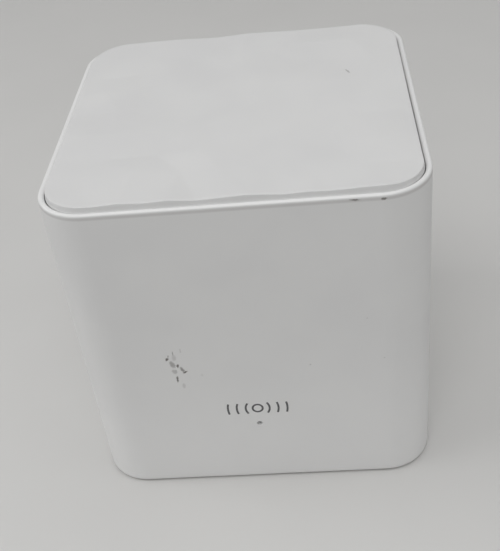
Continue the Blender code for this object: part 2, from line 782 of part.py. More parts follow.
def jack_shield(name, x, owner):
    """The sheet metal jacket of a network socket, open towards the rear wall."""
    width, depth, height = JACK_SIZE
    centre = (x, JACK_FRONT - depth / 2, PART_Z + height / 2)
    jacket = box(f"{name}_jack_shield", JACK_SIZE, centre)
    inner = (width - 2 * JACK_SHEET, depth, height - 2 * JACK_SHEET)
    cut(jacket, box(f"{name}_jacket_inside", inner, (x, centre[1] + JACK_SHEET, centre[2])))
    return finish(jacket, "steel", owner)


def plug_cavity_z():
    """Centre height of the plug's cavity, which leaves the latch notch below it."""
    return PART_Z + JACK_SIZE[2] / 2 + LATCH_HEIGHT / 2


def jack_housing(name, x, owner):
    """The plastic body inside the jacket, with the plug's cavity and the notch for its latch."""
    width, depth, height = (side - 2 * (JACK_SHEET + TOUCH) for side in JACK_SIZE)
    front = JACK_FRONT - TOUCH
    back = JACK_FRONT - JACK_SIZE[1] + JACK_SHEET + TOUCH
    z = PART_Z + JACK_SIZE[2] / 2
    low = (x - width / 2, back, z - height / 2)
    body = block(f"{name}_jack_housing", low, (x + width / 2, front, z + height / 2))
    cavity_z = plug_cavity_z()
    cavity = box(f"{name}_cavity", (PLUG_WIDTH, 2 * PLUG_DEPTH, PLUG_HEIGHT), (x, front, cavity_z))
    notch_z = cavity_z - PLUG_HEIGHT / 2
    notch = box(f"{name}_latch_notch", (LATCH_WIDTH, 2 * PLUG_DEPTH, 2 * LATCH_HEIGHT), (x, front, notch_z))
    cut(body, cavity, notch)
    return finish(body, "black_plastic", owner)


def jack_contacts(name, x, owner):
    """Eight spring wires that slope down into the cavity from a moulded bar at its back."""
    ceiling = plug_cavity_z() + PLUG_HEIGHT / 2 - TOUCH
    back = JACK_FRONT - PLUG_DEPTH
    bar_foot = ceiling - CONTACT_DROP - MM
    half = PLUG_WIDTH / 2 - FIT
    bar = block(f"{name}_jack_contacts", (x - half, back, bar_foot), (x + half, back + CONTACT_BAR, ceiling))
    slope = math.atan2(CONTACT_DROP - CONTACT_WIRE, CONTACT_REACH)
    size = (CONTACT_WIRE, CONTACT_REACH / math.cos(slope), CONTACT_WIRE)
    middle = back + CONTACT_BAR / 2 + CONTACT_REACH / 2
    for index in range(CONTACT_COUNT):
        wire_x = x + (index - (CONTACT_COUNT - 1) / 2) * CONTACT_PITCH
        wire = box(f"{name}_wire_{index}", size, (wire_x, middle, ceiling - CONTACT_DROP / 2))
        wire.rotation_euler.x = slope
        join(bar, wire)
    return finish(bar, "gold", owner)


def power_socket(owner):
    width, depth, height = POWER_SIZE
    body = block(
        "power_jack_body",
        (POWER_X - width / 2, POWER_FRONT - depth, PART_Z),
        (POWER_X + width / 2, POWER_FRONT, PART_Z + height),
    )
    round_edges(body, 0.3 * MM, segments=1)
    bore_start = (POWER_X, POWER_FRONT - POWER_DEPTH, PORT_Z)
    cut(body, rod("power_bore", POWER_BORE, bore_start, 2 * POWER_DEPTH, axis="Y"))
    return finish(body, "black_plastic", owner)


def power_pin(owner):
    length = POWER_DEPTH - MM
    tip = 0.4 * MM
    profile = ((0, length), (POWER_PIN - tip, length), (POWER_PIN, length - tip), (POWER_PIN, 0), (0, 0))
    start = (POWER_X, POWER_FRONT - POWER_DEPTH + TOUCH, PORT_Z)
    pin = turned("power_jack_pin", profile, start, axis="Y", sides=16)
    return finish(pin, "steel", owner)


def power_spring(owner):
    """The leaf that presses on the plug's barrel, along the foot of the bore."""
    width, length, thick = POWER_LEAF
    back = POWER_FRONT - POWER_DEPTH + TOUCH
    foot = PORT_Z - math.sqrt(POWER_BORE**2 - (width / 2) ** 2) + FIT
    leaf = box("power_jack_spring", POWER_LEAF, (POWER_X, back + length / 2, foot + thick / 2))
    return finish(leaf, "steel", owner)


# ---------------------------------------------------------------- reset button and status light


def reset_button(axis_empty):
    """The cap in the bezel. It slides towards -Y, and its flange keeps it in."""
    face = BEZEL_FACE + BUTTON_PROUD
    flange_front = BEZEL_FACE - BEZEL_FLOOR - FIT
    flange_back = flange_front - FLANGE_THICK
    soft = 0.3 * MM
    top, bottom = face - flange_back, 0
    profile = (
        (0, top),
        (BUTTON_RADIUS - soft, top),
        (BUTTON_RADIUS, top - soft),
        (BUTTON_RADIUS, flange_front - flange_back),
        (BUTTON_FLANGE, flange_front - flange_back),
        (BUTTON_FLANGE, bottom),
        (0, bottom),
    )
    cap = turned("reset_button", profile, (RESET_X, flange_back, PORT_Z), axis="Y")
    return finish(cap, "pale_plastic", axis_empty)


def reset_plunger(axis_empty):
    cap_back = BEZEL_FACE - BEZEL_FLOOR - FIT - FLANGE_THICK
    front = cap_back - FIT
    start = SWITCH_FRONT - PLUNGER_SUNK
    plunger = rod("reset_switch_plunger", PLUNGER_RADIUS, (RESET_X, start, PORT_Z), front - start, axis="Y")
    return finish(plunger, "black_plastic", axis_empty)


def reset_switch(owner):
    """The switch body on its bracket, with a well for the plunger's travel."""
    half = SWITCH_SIZE / 2
    back = SWITCH_FRONT - SWITCH_DEPTH
    body = block(
        "reset_switch_body",
        (RESET_X - half, back, PORT_Z - half),
        (RESET_X + half, SWITCH_FRONT, PORT_Z + half),
    )
    bracket = block(
        "switch_bracket",
        (RESET_X - half + FIT, back - MM, PART_Z),
        (RESET_X + half - FIT, SWITCH_FRONT - MM, PORT_Z - half + OVERLAP),
    )
    join(body, bracket)
    well = (RESET_X, SWITCH_FRONT - SWITCH_WELL, PORT_Z)
    cut(body, rod("plunger_well", PLUNGER_RADIUS + FIT, well, 2 * SWITCH_WELL, axis="Y"))
    return finish(body, "steel", owner)


def light_pipe(owner):
    """A clear rod that carries the light from the board up and forward to the hole in the front wall."""
    foot = (0, LED_Y, PART_Z + 1.6 * MM)
    inner_wall = -CUBE / 2 + WALL
    path = bend(foot, (0, LED_Y, LIGHT_Z), (0, inner_wall + 2 * FIT, LIGHT_Z), 2.5 * MM)
    path += [Vector((0, inner_wall + FIT, LIGHT_Z)), Vector((0, -CUBE / 2 + 2 * FIT, LIGHT_Z))]
    pipe = tube("light_pipe", path, LIGHT_PIPE, tip=LIGHT_HOLE - TOUCH)
    return finish(pipe, "clear", owner)


# ---------------------------------------------------------------- aerials


def aerial_frame(owner):
    """A square tower on four legs, whose tabs share the board's screws."""
    outline = rounded_outline(FRAME_HALF, FRAME_HALF, 4 * MM, steps=3)
    inner = rounded_outline(FRAME_HALF - FRAME_WALL, FRAME_HALF - FRAME_WALL, 2.2 * MM, steps=3)
    tower = level_slab("aerial_frame", outline, PART_Z, FRAME_TOP)
    cut(tower, level_slab("tower_inside", inner, 0, 2 * FRAME_TOP))
    leg_at, reach = BOARD_SCREW[1], CUBE
    leg_low, leg_high = leg_at - LEG_WIDTH / 2, leg_at + LEG_WIDTH / 2
    cut(tower, block("between_legs", (-reach, -leg_low, 0), (reach, leg_low, FRAME_RAIL)))
    for side in (-1, 1):
        near, far = sorted((side * leg_high, side * reach))
        cut(tower, block(f"beyond_legs_{side}", (-reach, near, 0), (reach, far, FRAME_RAIL)))
    window_half, window_low, window_high = 27 * MM, FRAME_RAIL + 6 * MM, AERIAL_Z - 10 * MM
    cut(tower, block("side_windows", (-reach, -window_half, window_low), (reach, window_half, window_high)))
    cut(tower, block("end_windows", (-window_half, -reach, window_low), (window_half, reach, window_high)))
    for corner, (sx, sy) in CORNERS.items():
        tab_low = (sx * (BOARD_SCREW[0] - TAB_REACH), sy * leg_low, PART_Z)
        tab_high = (sx * (FRAME_HALF - OVERLAP), sy * leg_high, PART_Z + TAB_THICK)
        low = tuple(min(pair) for pair in zip(tab_low, tab_high))
        high = tuple(max(pair) for pair in zip(tab_low, tab_high))
        join(tower, block(f"tab_{corner}", low, high))
        at = (sx * BOARD_SCREW[0], sy * BOARD_SCREW[1], 0)
        cut(tower, rod(f"tab_hole_{corner}", CLEAR_RADIUS, at, 2 * BOARD_TOP, sides=16))
    return finish(tower, "pale_plastic", owner)


def aerial(name, turn, owner):
    """A printed aerial on the outside of the frame; turn counts quarter turns from the right side."""
    distance = FRAME_HALF + TOUCH + AERIAL_SIZE[1] / 2
    angle = math.radians(90 * turn)
    size = (AERIAL_SIZE[1], AERIAL_SIZE[0], AERIAL_SIZE[2])
    strip = box(name, size, (distance * math.cos(angle), distance * math.sin(angle), AERIAL_Z))
    strip.rotation_euler.z = angle
    return finish(strip, "board", owner)


def aerial_lead(name, turn, sideways, plug_at, owner):
    """A coaxial lead: down the outside of the frame, in under its rail and on to a plug on the board."""
    out = Vector((math.cos(math.radians(90 * turn)), math.sin(math.radians(90 * turn)), 0))
    along = Vector((-out.y, out.x, 0)) * sideways * MM
    face = out * (FRAME_HALF + 2 * TOUCH + AERIAL_SIZE[1] + LEAD_RADIUS) + along
    plug = Vector((*plug_at, 0)) * MM
    start = face + Vector((0, 0, AERIAL_Z))
    rail = face + Vector((0, 0, FRAME_RAIL - 7 * MM))
    above = plug + Vector((0, 0, PART_Z + 8 * MM))
    path = bend(start, rail, above, 6 * MM)[:-1]
    path += bend(path[-1].lerp(above, 0.2), above, plug + Vector((0, 0, PART_Z + 0.6 * MM)), 4 * MM)
    lead = tube(name, path, LEAD_RADIUS)
    join(lead, rod(f"{name}_plug", LEAD_PLUG, (*plug.xy, PART_Z), LEAD_PLUG, sides=16))
    return finish(lead, "black_plastic", owner)


def add_casing(owner):
    outer_shell(owner)
    top_panel(owner)
    base_plate(owner)
    rating_label(owner)
    port_bezel(owner)
    for corner in CORNERS:
        rubber_foot(corner, owner)
        base_screw(corner, owner)


def add_board(owner):
    main_board(owner)
    for corner in CORNERS:
        board_screw(corner, owner)
    chip("processor", PROCESSOR_SIZE, PROCESSOR_AT, owner)
    pad_size = (*PROCESSOR_SIZE[:2], PAD_THICK)
    chip("thermal_pad", pad_size, PROCESSOR_AT, owner, "pad", raised=PROCESSOR_SIZE[2] + TOUCH)
    heat_sink(owner)
    sink_pin(0, owner)
    sink_pin(1, owner)
    for band, side in (("2g", -1), ("5g", 1)):
        at = (side * RADIO_AT[0], RADIO_AT[1])
        shield_can(f"radio_shield_{band}", RADIO_SHIELD, at, owner)
        chip(f"radio_chip_{band}", RADIO_CHIP, at, owner)
    for name, size, at, kind in COMPONENTS:
        chip(name, Vector(size) * MM, Vector(at) * MM, owner, kind)
    for name, radius, height, at in CAPACITORS:
        capacitor(name, radius * MM, height * MM, Vector(at) * MM, owner)


def add_sockets(owner):
    for name, x in (("wan", WAN_X), ("lan", LAN_X)):
        jack_shield(name, x, owner)
        jack_housing(name, x, owner)
        jack_contacts(name, x, owner)
    power_socket(owner)
    power_pin(owner)
    power_spring(owner)


def add_reset_button(owner):
    """The cap and the switch's plunger hang on an empty that stands on their common axis."""
    axis_empty = empty("reset_axis", (RESET_X, BEZEL_FACE, PORT_Z))
    axis_empty.parent = owner
    bpy.context.view_layer.update()
    reset_button(axis_empty)
    reset_plunger(axis_empty)
    reset_switch(owner)


def add_status_light(owner):
    chip("status_led", LED_SIZE, (0, LED_Y), owner, "clear")
    light_pipe(owner)


def add_aerials(owner):
    aerial_frame(owner)
    for side, turn, sideways, plug_at in AERIALS:
        aerial(f"aerial_{side}", turn, owner)
        aerial_lead(f"aerial_lead_{side}", turn, sideways, plug_at, owner)


def build():
    node = empty("mesh_node")
    add_casing(node)
    add_board(node)
    add_sockets(node)
    add_reset_button(node)
    add_status_light(node)
    add_aerials(node)


clear_scene()
PARTS = collection("mesh_wifi_node")
HELPERS = collection("cutters")
build()
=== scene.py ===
import json
import math

import bmesh
import bpy
from mathutils import Euler, Matrix, Vector
from mathutils.bvhtree import BVHTree

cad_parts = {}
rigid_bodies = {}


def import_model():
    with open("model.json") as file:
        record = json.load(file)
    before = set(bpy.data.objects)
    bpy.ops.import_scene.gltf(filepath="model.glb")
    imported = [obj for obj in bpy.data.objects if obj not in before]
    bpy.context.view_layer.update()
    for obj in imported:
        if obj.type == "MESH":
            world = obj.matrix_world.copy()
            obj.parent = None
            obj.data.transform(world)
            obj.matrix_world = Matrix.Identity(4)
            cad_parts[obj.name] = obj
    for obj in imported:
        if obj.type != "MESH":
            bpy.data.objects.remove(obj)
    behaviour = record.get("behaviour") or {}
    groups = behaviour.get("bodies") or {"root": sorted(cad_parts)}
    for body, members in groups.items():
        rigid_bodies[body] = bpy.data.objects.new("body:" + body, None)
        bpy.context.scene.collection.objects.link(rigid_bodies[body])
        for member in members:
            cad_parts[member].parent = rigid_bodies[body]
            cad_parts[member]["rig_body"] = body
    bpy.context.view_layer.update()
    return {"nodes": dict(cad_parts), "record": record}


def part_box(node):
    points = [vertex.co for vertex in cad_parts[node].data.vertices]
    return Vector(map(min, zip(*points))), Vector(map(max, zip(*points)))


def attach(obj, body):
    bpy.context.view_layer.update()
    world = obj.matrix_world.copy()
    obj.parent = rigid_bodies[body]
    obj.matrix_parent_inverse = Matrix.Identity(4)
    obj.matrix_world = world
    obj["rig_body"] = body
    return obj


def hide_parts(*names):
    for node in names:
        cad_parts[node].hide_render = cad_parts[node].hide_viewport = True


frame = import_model()

MM = 0.001
CASE = "case"

# ---- sizes read from the frame

SHELL_LOW, SHELL_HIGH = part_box("outer_shell")
PANEL_LOW, PANEL_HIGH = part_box("top_panel")
BEZEL_LOW, BEZEL_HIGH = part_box("port_bezel")
HALF = SHELL_HIGH.x
FRONT = SHELL_LOW.y
REAR = SHELL_HIGH.y
RIM_TOP = SHELL_HIGH.z
SHELL_BOTTOM = SHELL_LOW.z
PANEL_HALF = PANEL_HIGH.x

# ---- sizes the frame doesn't give

FIT = 0.3 * MM
CORNER = 12.2 * MM
WALL = 2.0 * MM
RIM_WIDTH = 1.5 * MM
RIM_OUTER_ROUND = 0.6 * MM
RIM_INNER_DROP = 0.9 * MM
SEAT = 86.0 * MM
LEDGE_DEPTH = 1.6 * MM
LEDGE_INSET = 4.0 * MM
FOOT_ROUND = 0.3 * MM
BOSS_AT = 34.5 * MM
BOSS_RADIUS = 3.25 * MM
BOSS_BOTTOM = 5.9 * MM
BOSS_TOP = 20.0 * MM
PILOT_RADIUS = 1.1 * MM
RIB_HALF = 0.8 * MM
RIB_LENGTH = 8.0 * MM
CORNER_STEPS = 20

PANEL_BOTTOM = PANEL_HIGH.z - 4.5 * MM
PANEL_EDGE = 0.24 * MM
PANEL_SKIRT = 1.7 * MM
PANEL_CEILING = 88.3 * MM
PANEL_FLARE = 0.2 * MM
FLARE_TOP = 90.0 * MM
FLARE_FOOT = 88.9 * MM
PANEL_CELLS = 132
CREASE_SOFTNESS = 0.25 * MM
HOOK_WIDTH = 10.0 * MM
HOOK_THICK = 1.4 * MM
HOOK_NOSE = 1.5 * MM

WINDOW_HALF = (29.5 * MM, 10.5 * MM)
WINDOW_CORNER = 2.0 * MM
PORT_Z = 16.0 * MM
EDGE_ROUND = 0.35 * MM
SOFT = 0.25 * MM

LIGHT_Z = 21.0 * MM
LIGHT_HOLE = 0.75 * MM
LIGHT_FLARE = 0.10 * MM

SIGN_Z = 26.7 * MM
SIGN_HALF_HEIGHT = 1.85 * MM
SIGN_STROKE = 0.52 * MM
SIGN_RING = 1.3 * MM
SIGN_ARCS = (3.1 * MM, 5.4 * MM, 7.7 * MM)
INK_THICK = 0.02 * MM

# rear bezel and its printed signs
BEZEL_WALL = 1.2 * MM
BEZEL_EDGE = 0.3 * MM
BEZEL_FACE = 41.5 * MM
BEZEL_LIP = REAR - 2 * FIT
ICON_Z = 23.75 * MM
ICON_HALF = 0.82 * MM
ICON_STROKE = 0.24 * MM

# network sockets, power socket and button
CAVITY_HALF = (5.95 * MM, 3.5 * MM)
LATCH_STEPS = ((3.1 * MM, 1.0 * MM), (2.0 * MM, 2.0 * MM))
CAVITY_DEPTH = 14.0 * MM
CONTACTS = 8
CONTACT_PITCH = 1.02 * MM
CONTACT_RADIUS = 0.2 * MM
WIRE_REACH = 2.2 * MM
COMB_DEPTH = 0.75 * MM
COMB_WIDTH = 0.66 * MM
SHEET = 0.4 * MM
POWER_BORE = 3.1 * MM
POWER_DEPTH = 9.0 * MM
BUTTON_RADIUS = 1.7 * MM

# base plate, feet and screws
BASE_TOP = 3.2 * MM
CUP_RADIUS = 6.5 * MM
CUP_TOP = 5.6 * MM
FOOT_RADIUS = 5.0 * MM
FOOT_SEAT = 2.0 * MM
SCREW_HOLE = 1.4 * MM
HEAD_RADIUS = 2.3 * MM
HEAD_HEIGHT = 1.5 * MM
TOUCH = 0.15 * MM
VENT_HALF = (7.5 * MM, 0.85 * MM)
VENT_PITCH = 3.8 * MM
VENT_ROWS = 9
VENT_COLUMN_AT = 28.0 * MM
STANDOFF_RADIUS = 2.9 * MM
LABEL_CORNER = 2.0 * MM

# camera, with its turn in degrees and its lens in millimetres; floor, backdrop and lamps
CAMERA_AT = (20.85 * MM, -210.44 * MM, 198.13 * MM)
CAMERA_TURN = (52.17, 5.95, 1.719)
LENS = 60.0
FLOOR_HALF = 3.0
FLOOR_COLOUR = (0.722, 0.717, 0.703)
WORLD_STRENGTH = 0.236
# Soft lamps: place, size across and power in watts. Each points at the middle of the cube.
LAMPS = {
    "over": ((0.0, 0.0, 1.1), 1.2, 3.67),
    "left": ((-0.85, -0.1, 0.6), 0.8, 2.4),
    "front": ((0.0, -0.8, 1.0), 0.9, 2.8),
    "right": ((0.8, -0.2, 0.7), 0.8, 0.71),
}


# ---- mesh helpers


def link_object(name, data):
    made = bpy.data.objects.new(name, data)
    bpy.context.scene.collection.objects.link(made)
    return made


def solid(name, bm):
    """An object from a closed bmesh, with its faces turned outwards."""
    bmesh.ops.recalc_face_normals(bm, faces=bm.faces)
    mesh = bpy.data.meshes.new(name)
    bm.to_mesh(mesh)
    bm.free()
    return link_object(name, mesh)


def join_rings(bm, lower, upper):
    """A band of four-sided faces between two rings with the same number of points."""
    for i in range(len(lower)):
        j = (i + 1) % len(lower)
        bm.faces.new((lower[i], lower[j], upper[j], upper[i]))


def rounded_rectangle(half_x, half_y, corner, steps=10):
    """Outline of a rectangle with round corners: a function of how far it is moved inwards."""

    def outline(inset):
        points = []
        radius = corner - inset
        for quarter, (sx, sy) in enumerate(((1, 1), (-1, 1), (-1, -1), (1, -1))):
            for step in range(steps + 1):
                angle = math.radians(90 * (quarter + step / steps))
                x = sx * (half_x - corner) + radius * math.cos(angle)
                y = sy * (half_y - corner) + radius * math.sin(angle)
                points.append((x, y))
        return points

    return outline


def circle(radius, steps=48):
    """Outline of a circle, as a function of how far it is moved inwards."""

    def outline(inset):
        reach = radius - inset
        turns = [2 * math.pi * step / steps for step in range(steps)]
        return [(reach * math.cos(turn), reach * math.sin(turn)) for turn in turns]

    return outline


def mitre(before, after):
    """From a corner between two directions to a point one unit left of both."""
    before, after = before.normalized(), after.normalized()
    return Vector((-before.y - after.y, before.x + after.x)) / (1 + before.dot(after))


def polygon(points):
    """A counter-clockwise outline with sharp corners."""
    spots = [Vector(point) for point in points]

    def outline(inset):
        moved = []
        for index, spot in enumerate(spots):
            inwards = mitre(spot - spots[index - 1], spots[(index + 1) % len(spots)] - spot)
            moved.append((points[index][0] + inwards.x * inset, points[index][1] + inwards.y * inset))
        return moved

    return outline


def arc(centre, radius, start, stop, steps=6, rise=None):
    """Profile points on an arc, or on part of an ellipse of that rise, with angles in degrees."""
    angles = [math.radians(start + (stop - start) * step / steps) for step in range(steps + 1)]
    rise = rise or radius
    return [(centre[0] + radius * math.cos(a), centre[1] + rise * math.sin(a)) for a in angles]


def skin(bm, rings, loop):
    """Joins rings of points in order, then the last to the first, or else closes both ends."""
    for lower, upper in zip(rings, rings[1:]):
        join_rings(bm, lower, upper)
    if loop:
        join_rings(bm, rings[-1], rings[0])
    else:
        bm.faces.new(rings[0])
        bm.faces.new(rings[-1])


def upwards(centre_x=0.0, centre_y=0.0):
    """Maps an outline's plane to a level one, round a centre; heights run along +Z."""
    return lambda x, y, height: Vector((centre_x + x, centre_y + y, height))


def rearwards(centre_x, centre_z):
    """Maps an outline's plane to an upright one, round a centre; heights run along +Y."""
    return lambda x, y, height: Vector((centre_x + x, height, centre_z + y))


def sweep(name, outline, profile, to_world=upwards(), loop=False):
    """A solid whose section is the profile, as (inset, height) points, carried round the outline."""
    bm = bmesh.new()
    rings = []
    for inset, height in profile:
        rings.append([bm.verts.new(to_world(x, y, height)) for x, y in outline(inset)])
    skin(bm, rings, loop)
    return solid(name, bm)


def opening(name, outline, depth_at, face_at, flare, to_world, root=0.0, steps=4):
    """A cutter for a recess with a rounded mouth and, if root is given, a rounded foot."""
    side = 1 if face_at > depth_at else -1
    profile = [(0, depth_at)]
    if root:
        profile = [(root - x, depth_at + side * y) for x, y in arc((0, root), root, -90, 0, steps)]
    for across, up in arc((-flare, 0), flare, 0, 90, steps):
        profile.append((across, face_at - side * flare + side * up))
    profile.append((-flare, face_at + side * 2 * MM))
    return sweep(name, outline, profile, to_world)


def lathe(name, profile, to_world, steps=48):
    """A turned solid from (radius, height) points; the first and last lie on the axis."""
    bm = bmesh.new()
    rings = []
    for radius, height in profile:
        spots = circle(radius, steps if radius else 1)(0)
        rings.append([bm.verts.new(to_world(x, y, height)) for x, y in spots])
    for lower, upper in zip(rings, rings[1:]):
        for i in range(steps):
            j = (i + 1) % steps
            below = (lower[i % len(lower)], lower[j % len(lower)])
            above = (upper[j % len(upper)], upper[i % len(upper)])
            bm.faces.new(list(dict.fromkeys(below + above)))
    return solid(name, bm)


def standing_rod(name, at, radius, low, high, edge=0.0, steps=40):
    """An upright cylinder whose top edge may be chamfered."""
    profile = [(0, high), (radius - edge, high), (radius, high - edge), (radius, low), (0, low)]
    if not edge:
        profile.pop(2)
    return lathe(name, profile, upwards(*at), steps)


def block(name, low, high, edge=0.0, segments=2):
    """A box between two corners with rounded edges."""
    low, high = Vector(low), Vector(high)
    bm = bmesh.new()
    place = Matrix.Translation((low + high) / 2) @ Matrix.Diagonal((*(high - low), 1.0))
    bmesh.ops.create_cube(bm, size=1.0, matrix=place)
    if edge:
        bmesh.ops.bevel(bm, geom=bm.edges[:], offset=edge, segments=segments, profile=0.5, affect="EDGES")
    return solid(name, bm)


def heading(points, index):
    """The direction of a path at one of its points."""
    return (points[min(index + 1, len(points) - 1)] - points[max(index - 1, 0)]).normalized()


def tube(name, path, radius, steps=12, dome=0.5):
    """A round wire with domed ends along a path of points."""
    points = [Vector(point) for point in path]
    bm = bmesh.new()
    rings = []
    side = None
    for index, point in enumerate(points):
        ahead = heading(points, index)
        if side is None:
            side = ahead.orthogonal().normalized()
        side = (side - ahead * side.dot(ahead)).normalized()
        other = ahead.cross(side)
        spokes = [side * x + other * y for x, y in circle(1.0, steps)(0)]
        rings.append([bm.verts.new(point + spoke * radius) for spoke in spokes])
    for lower, upper in zip(rings, rings[1:]):
        join_rings(bm, lower, upper)
    for ring, tip, before in ((rings[0], points[0], points[1]), (rings[-1], points[-1], points[-2])):
        top = bm.verts.new(tip + (tip - before).normalized() * radius * dome)
        for i in range(steps):
            bm.faces.new((ring[i], ring[(i + 1) % steps], top))
    return solid(name, bm)


def curve_through(start, corner, end, radius, steps=8):
    """A path from start to end that turns at corner along an arc."""
    start, corner, end = Vector(start), Vector(corner), Vector(end)
    before, after = (start - corner).normalized(), (end - corner).normalized()
    half_angle = before.angle(after) / 2
    reach = radius / math.tan(half_angle)
    centre = corner + (before + after).normalized() * (radius / math.sin(half_angle))
    first = (corner + before * reach - centre).normalized()
    last = (corner + after * reach - centre).normalized()
    turn = [centre + first.slerp(last, step / steps) * radius for step in range(steps + 1)]
    return [start, *turn, end]


def ribbon(name, path, half_thick, low_x, high_x):
    """A bent strip of sheet: the path gives (y, z) along its middle, and it runs across X."""
    points = [Vector(point) for point in path]
    left, right = [], []
    for index, point in enumerate(points):
        ahead = heading(points, index)
        normal = Vector((-ahead.y, ahead.x)) * half_thick
        left.append(point + normal)
        right.append(point - normal)
    section = left + right[::-1]
    bm = bmesh.new()
    rings = [[bm.verts.new((x, y, z)) for y, z in section] for x in (low_x, high_x)]
    join_rings(bm, *rings)
    for ring in rings:
        for i in range(len(points) - 1):
            bm.faces.new((ring[i], ring[i + 1], ring[-2 - i], ring[-1 - i]))
    return solid(name, bm)


def printed(name, strokes, width, to_world):
    """Thin raised ink along (path, is_closed) strokes on a surface at height 0."""
    bm = bmesh.new()
    for path, closed in strokes:
        points = [Vector(point) for point in path]
        count = len(points)
        rings = []
        for index, point in enumerate(points):
            before = point - points[index - 1] if closed or index else points[1] - points[0]
            after = points[(index + 1) % count] - point if closed or index < count - 1 else before
            normal = mitre(before, after)
            ring = []
            for side, height in ((-1, 0.5), (1, 0.5), (1, -0.5), (-1, -0.5)):
                x, y = point + normal * side * width / 2
                ring.append(bm.verts.new(to_world(x, y, height * INK_THICK)))
            rings.append(ring)
        skin(bm, rings, closed)
    return solid(name, bm)


def apply_modifiers(target):
    graph = bpy.context.evaluated_depsgraph_get()
    mesh = bpy.data.meshes.new_from_object(target.evaluated_get(graph))
    target.modifiers.clear()
    target.data = mesh


def combine(target, others, operation):
    for other in others:
        boolean = target.modifiers.new(other.name, "BOOLEAN")
        boolean.operation = operation
        boolean.object = other
    bpy.context.view_layer.update()
    apply_modifiers(target)
    for other in others:
        bpy.data.objects.remove(other)


def cut(target, *cutters):
    combine(target, cutters, "DIFFERENCE")


def join(target, *others):
    combine(target, others, "UNION")


def dress(piece, material, body=CASE, sharp=32):
    """Shades a piece, gives it its material and hangs it on its body."""
    piece.data.materials.clear()
    piece.data.materials.append(material)
    piece.data.shade_smooth()
    piece.data.set_sharp_from_angle(angle=math.radians(sharp))
    weighted = piece.modifiers.new("flat faces stay flat", "WEIGHTED_NORMAL")
    weighted.keep_sharp = True
    apply_modifiers(piece)
    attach(piece, body)


def stand_in(piece, node, sharp=32):
    """Dresses a piece that stands for one CAD node, in its material and on its body."""
    slot = SLOTS[node]
    dress(piece, MATERIALS[slot], frame["nodes"][node]["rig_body"], sharp)
    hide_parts(node)


def middle(node):
    low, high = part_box(node)
    return (low + high) / 2


# ---- material helpers


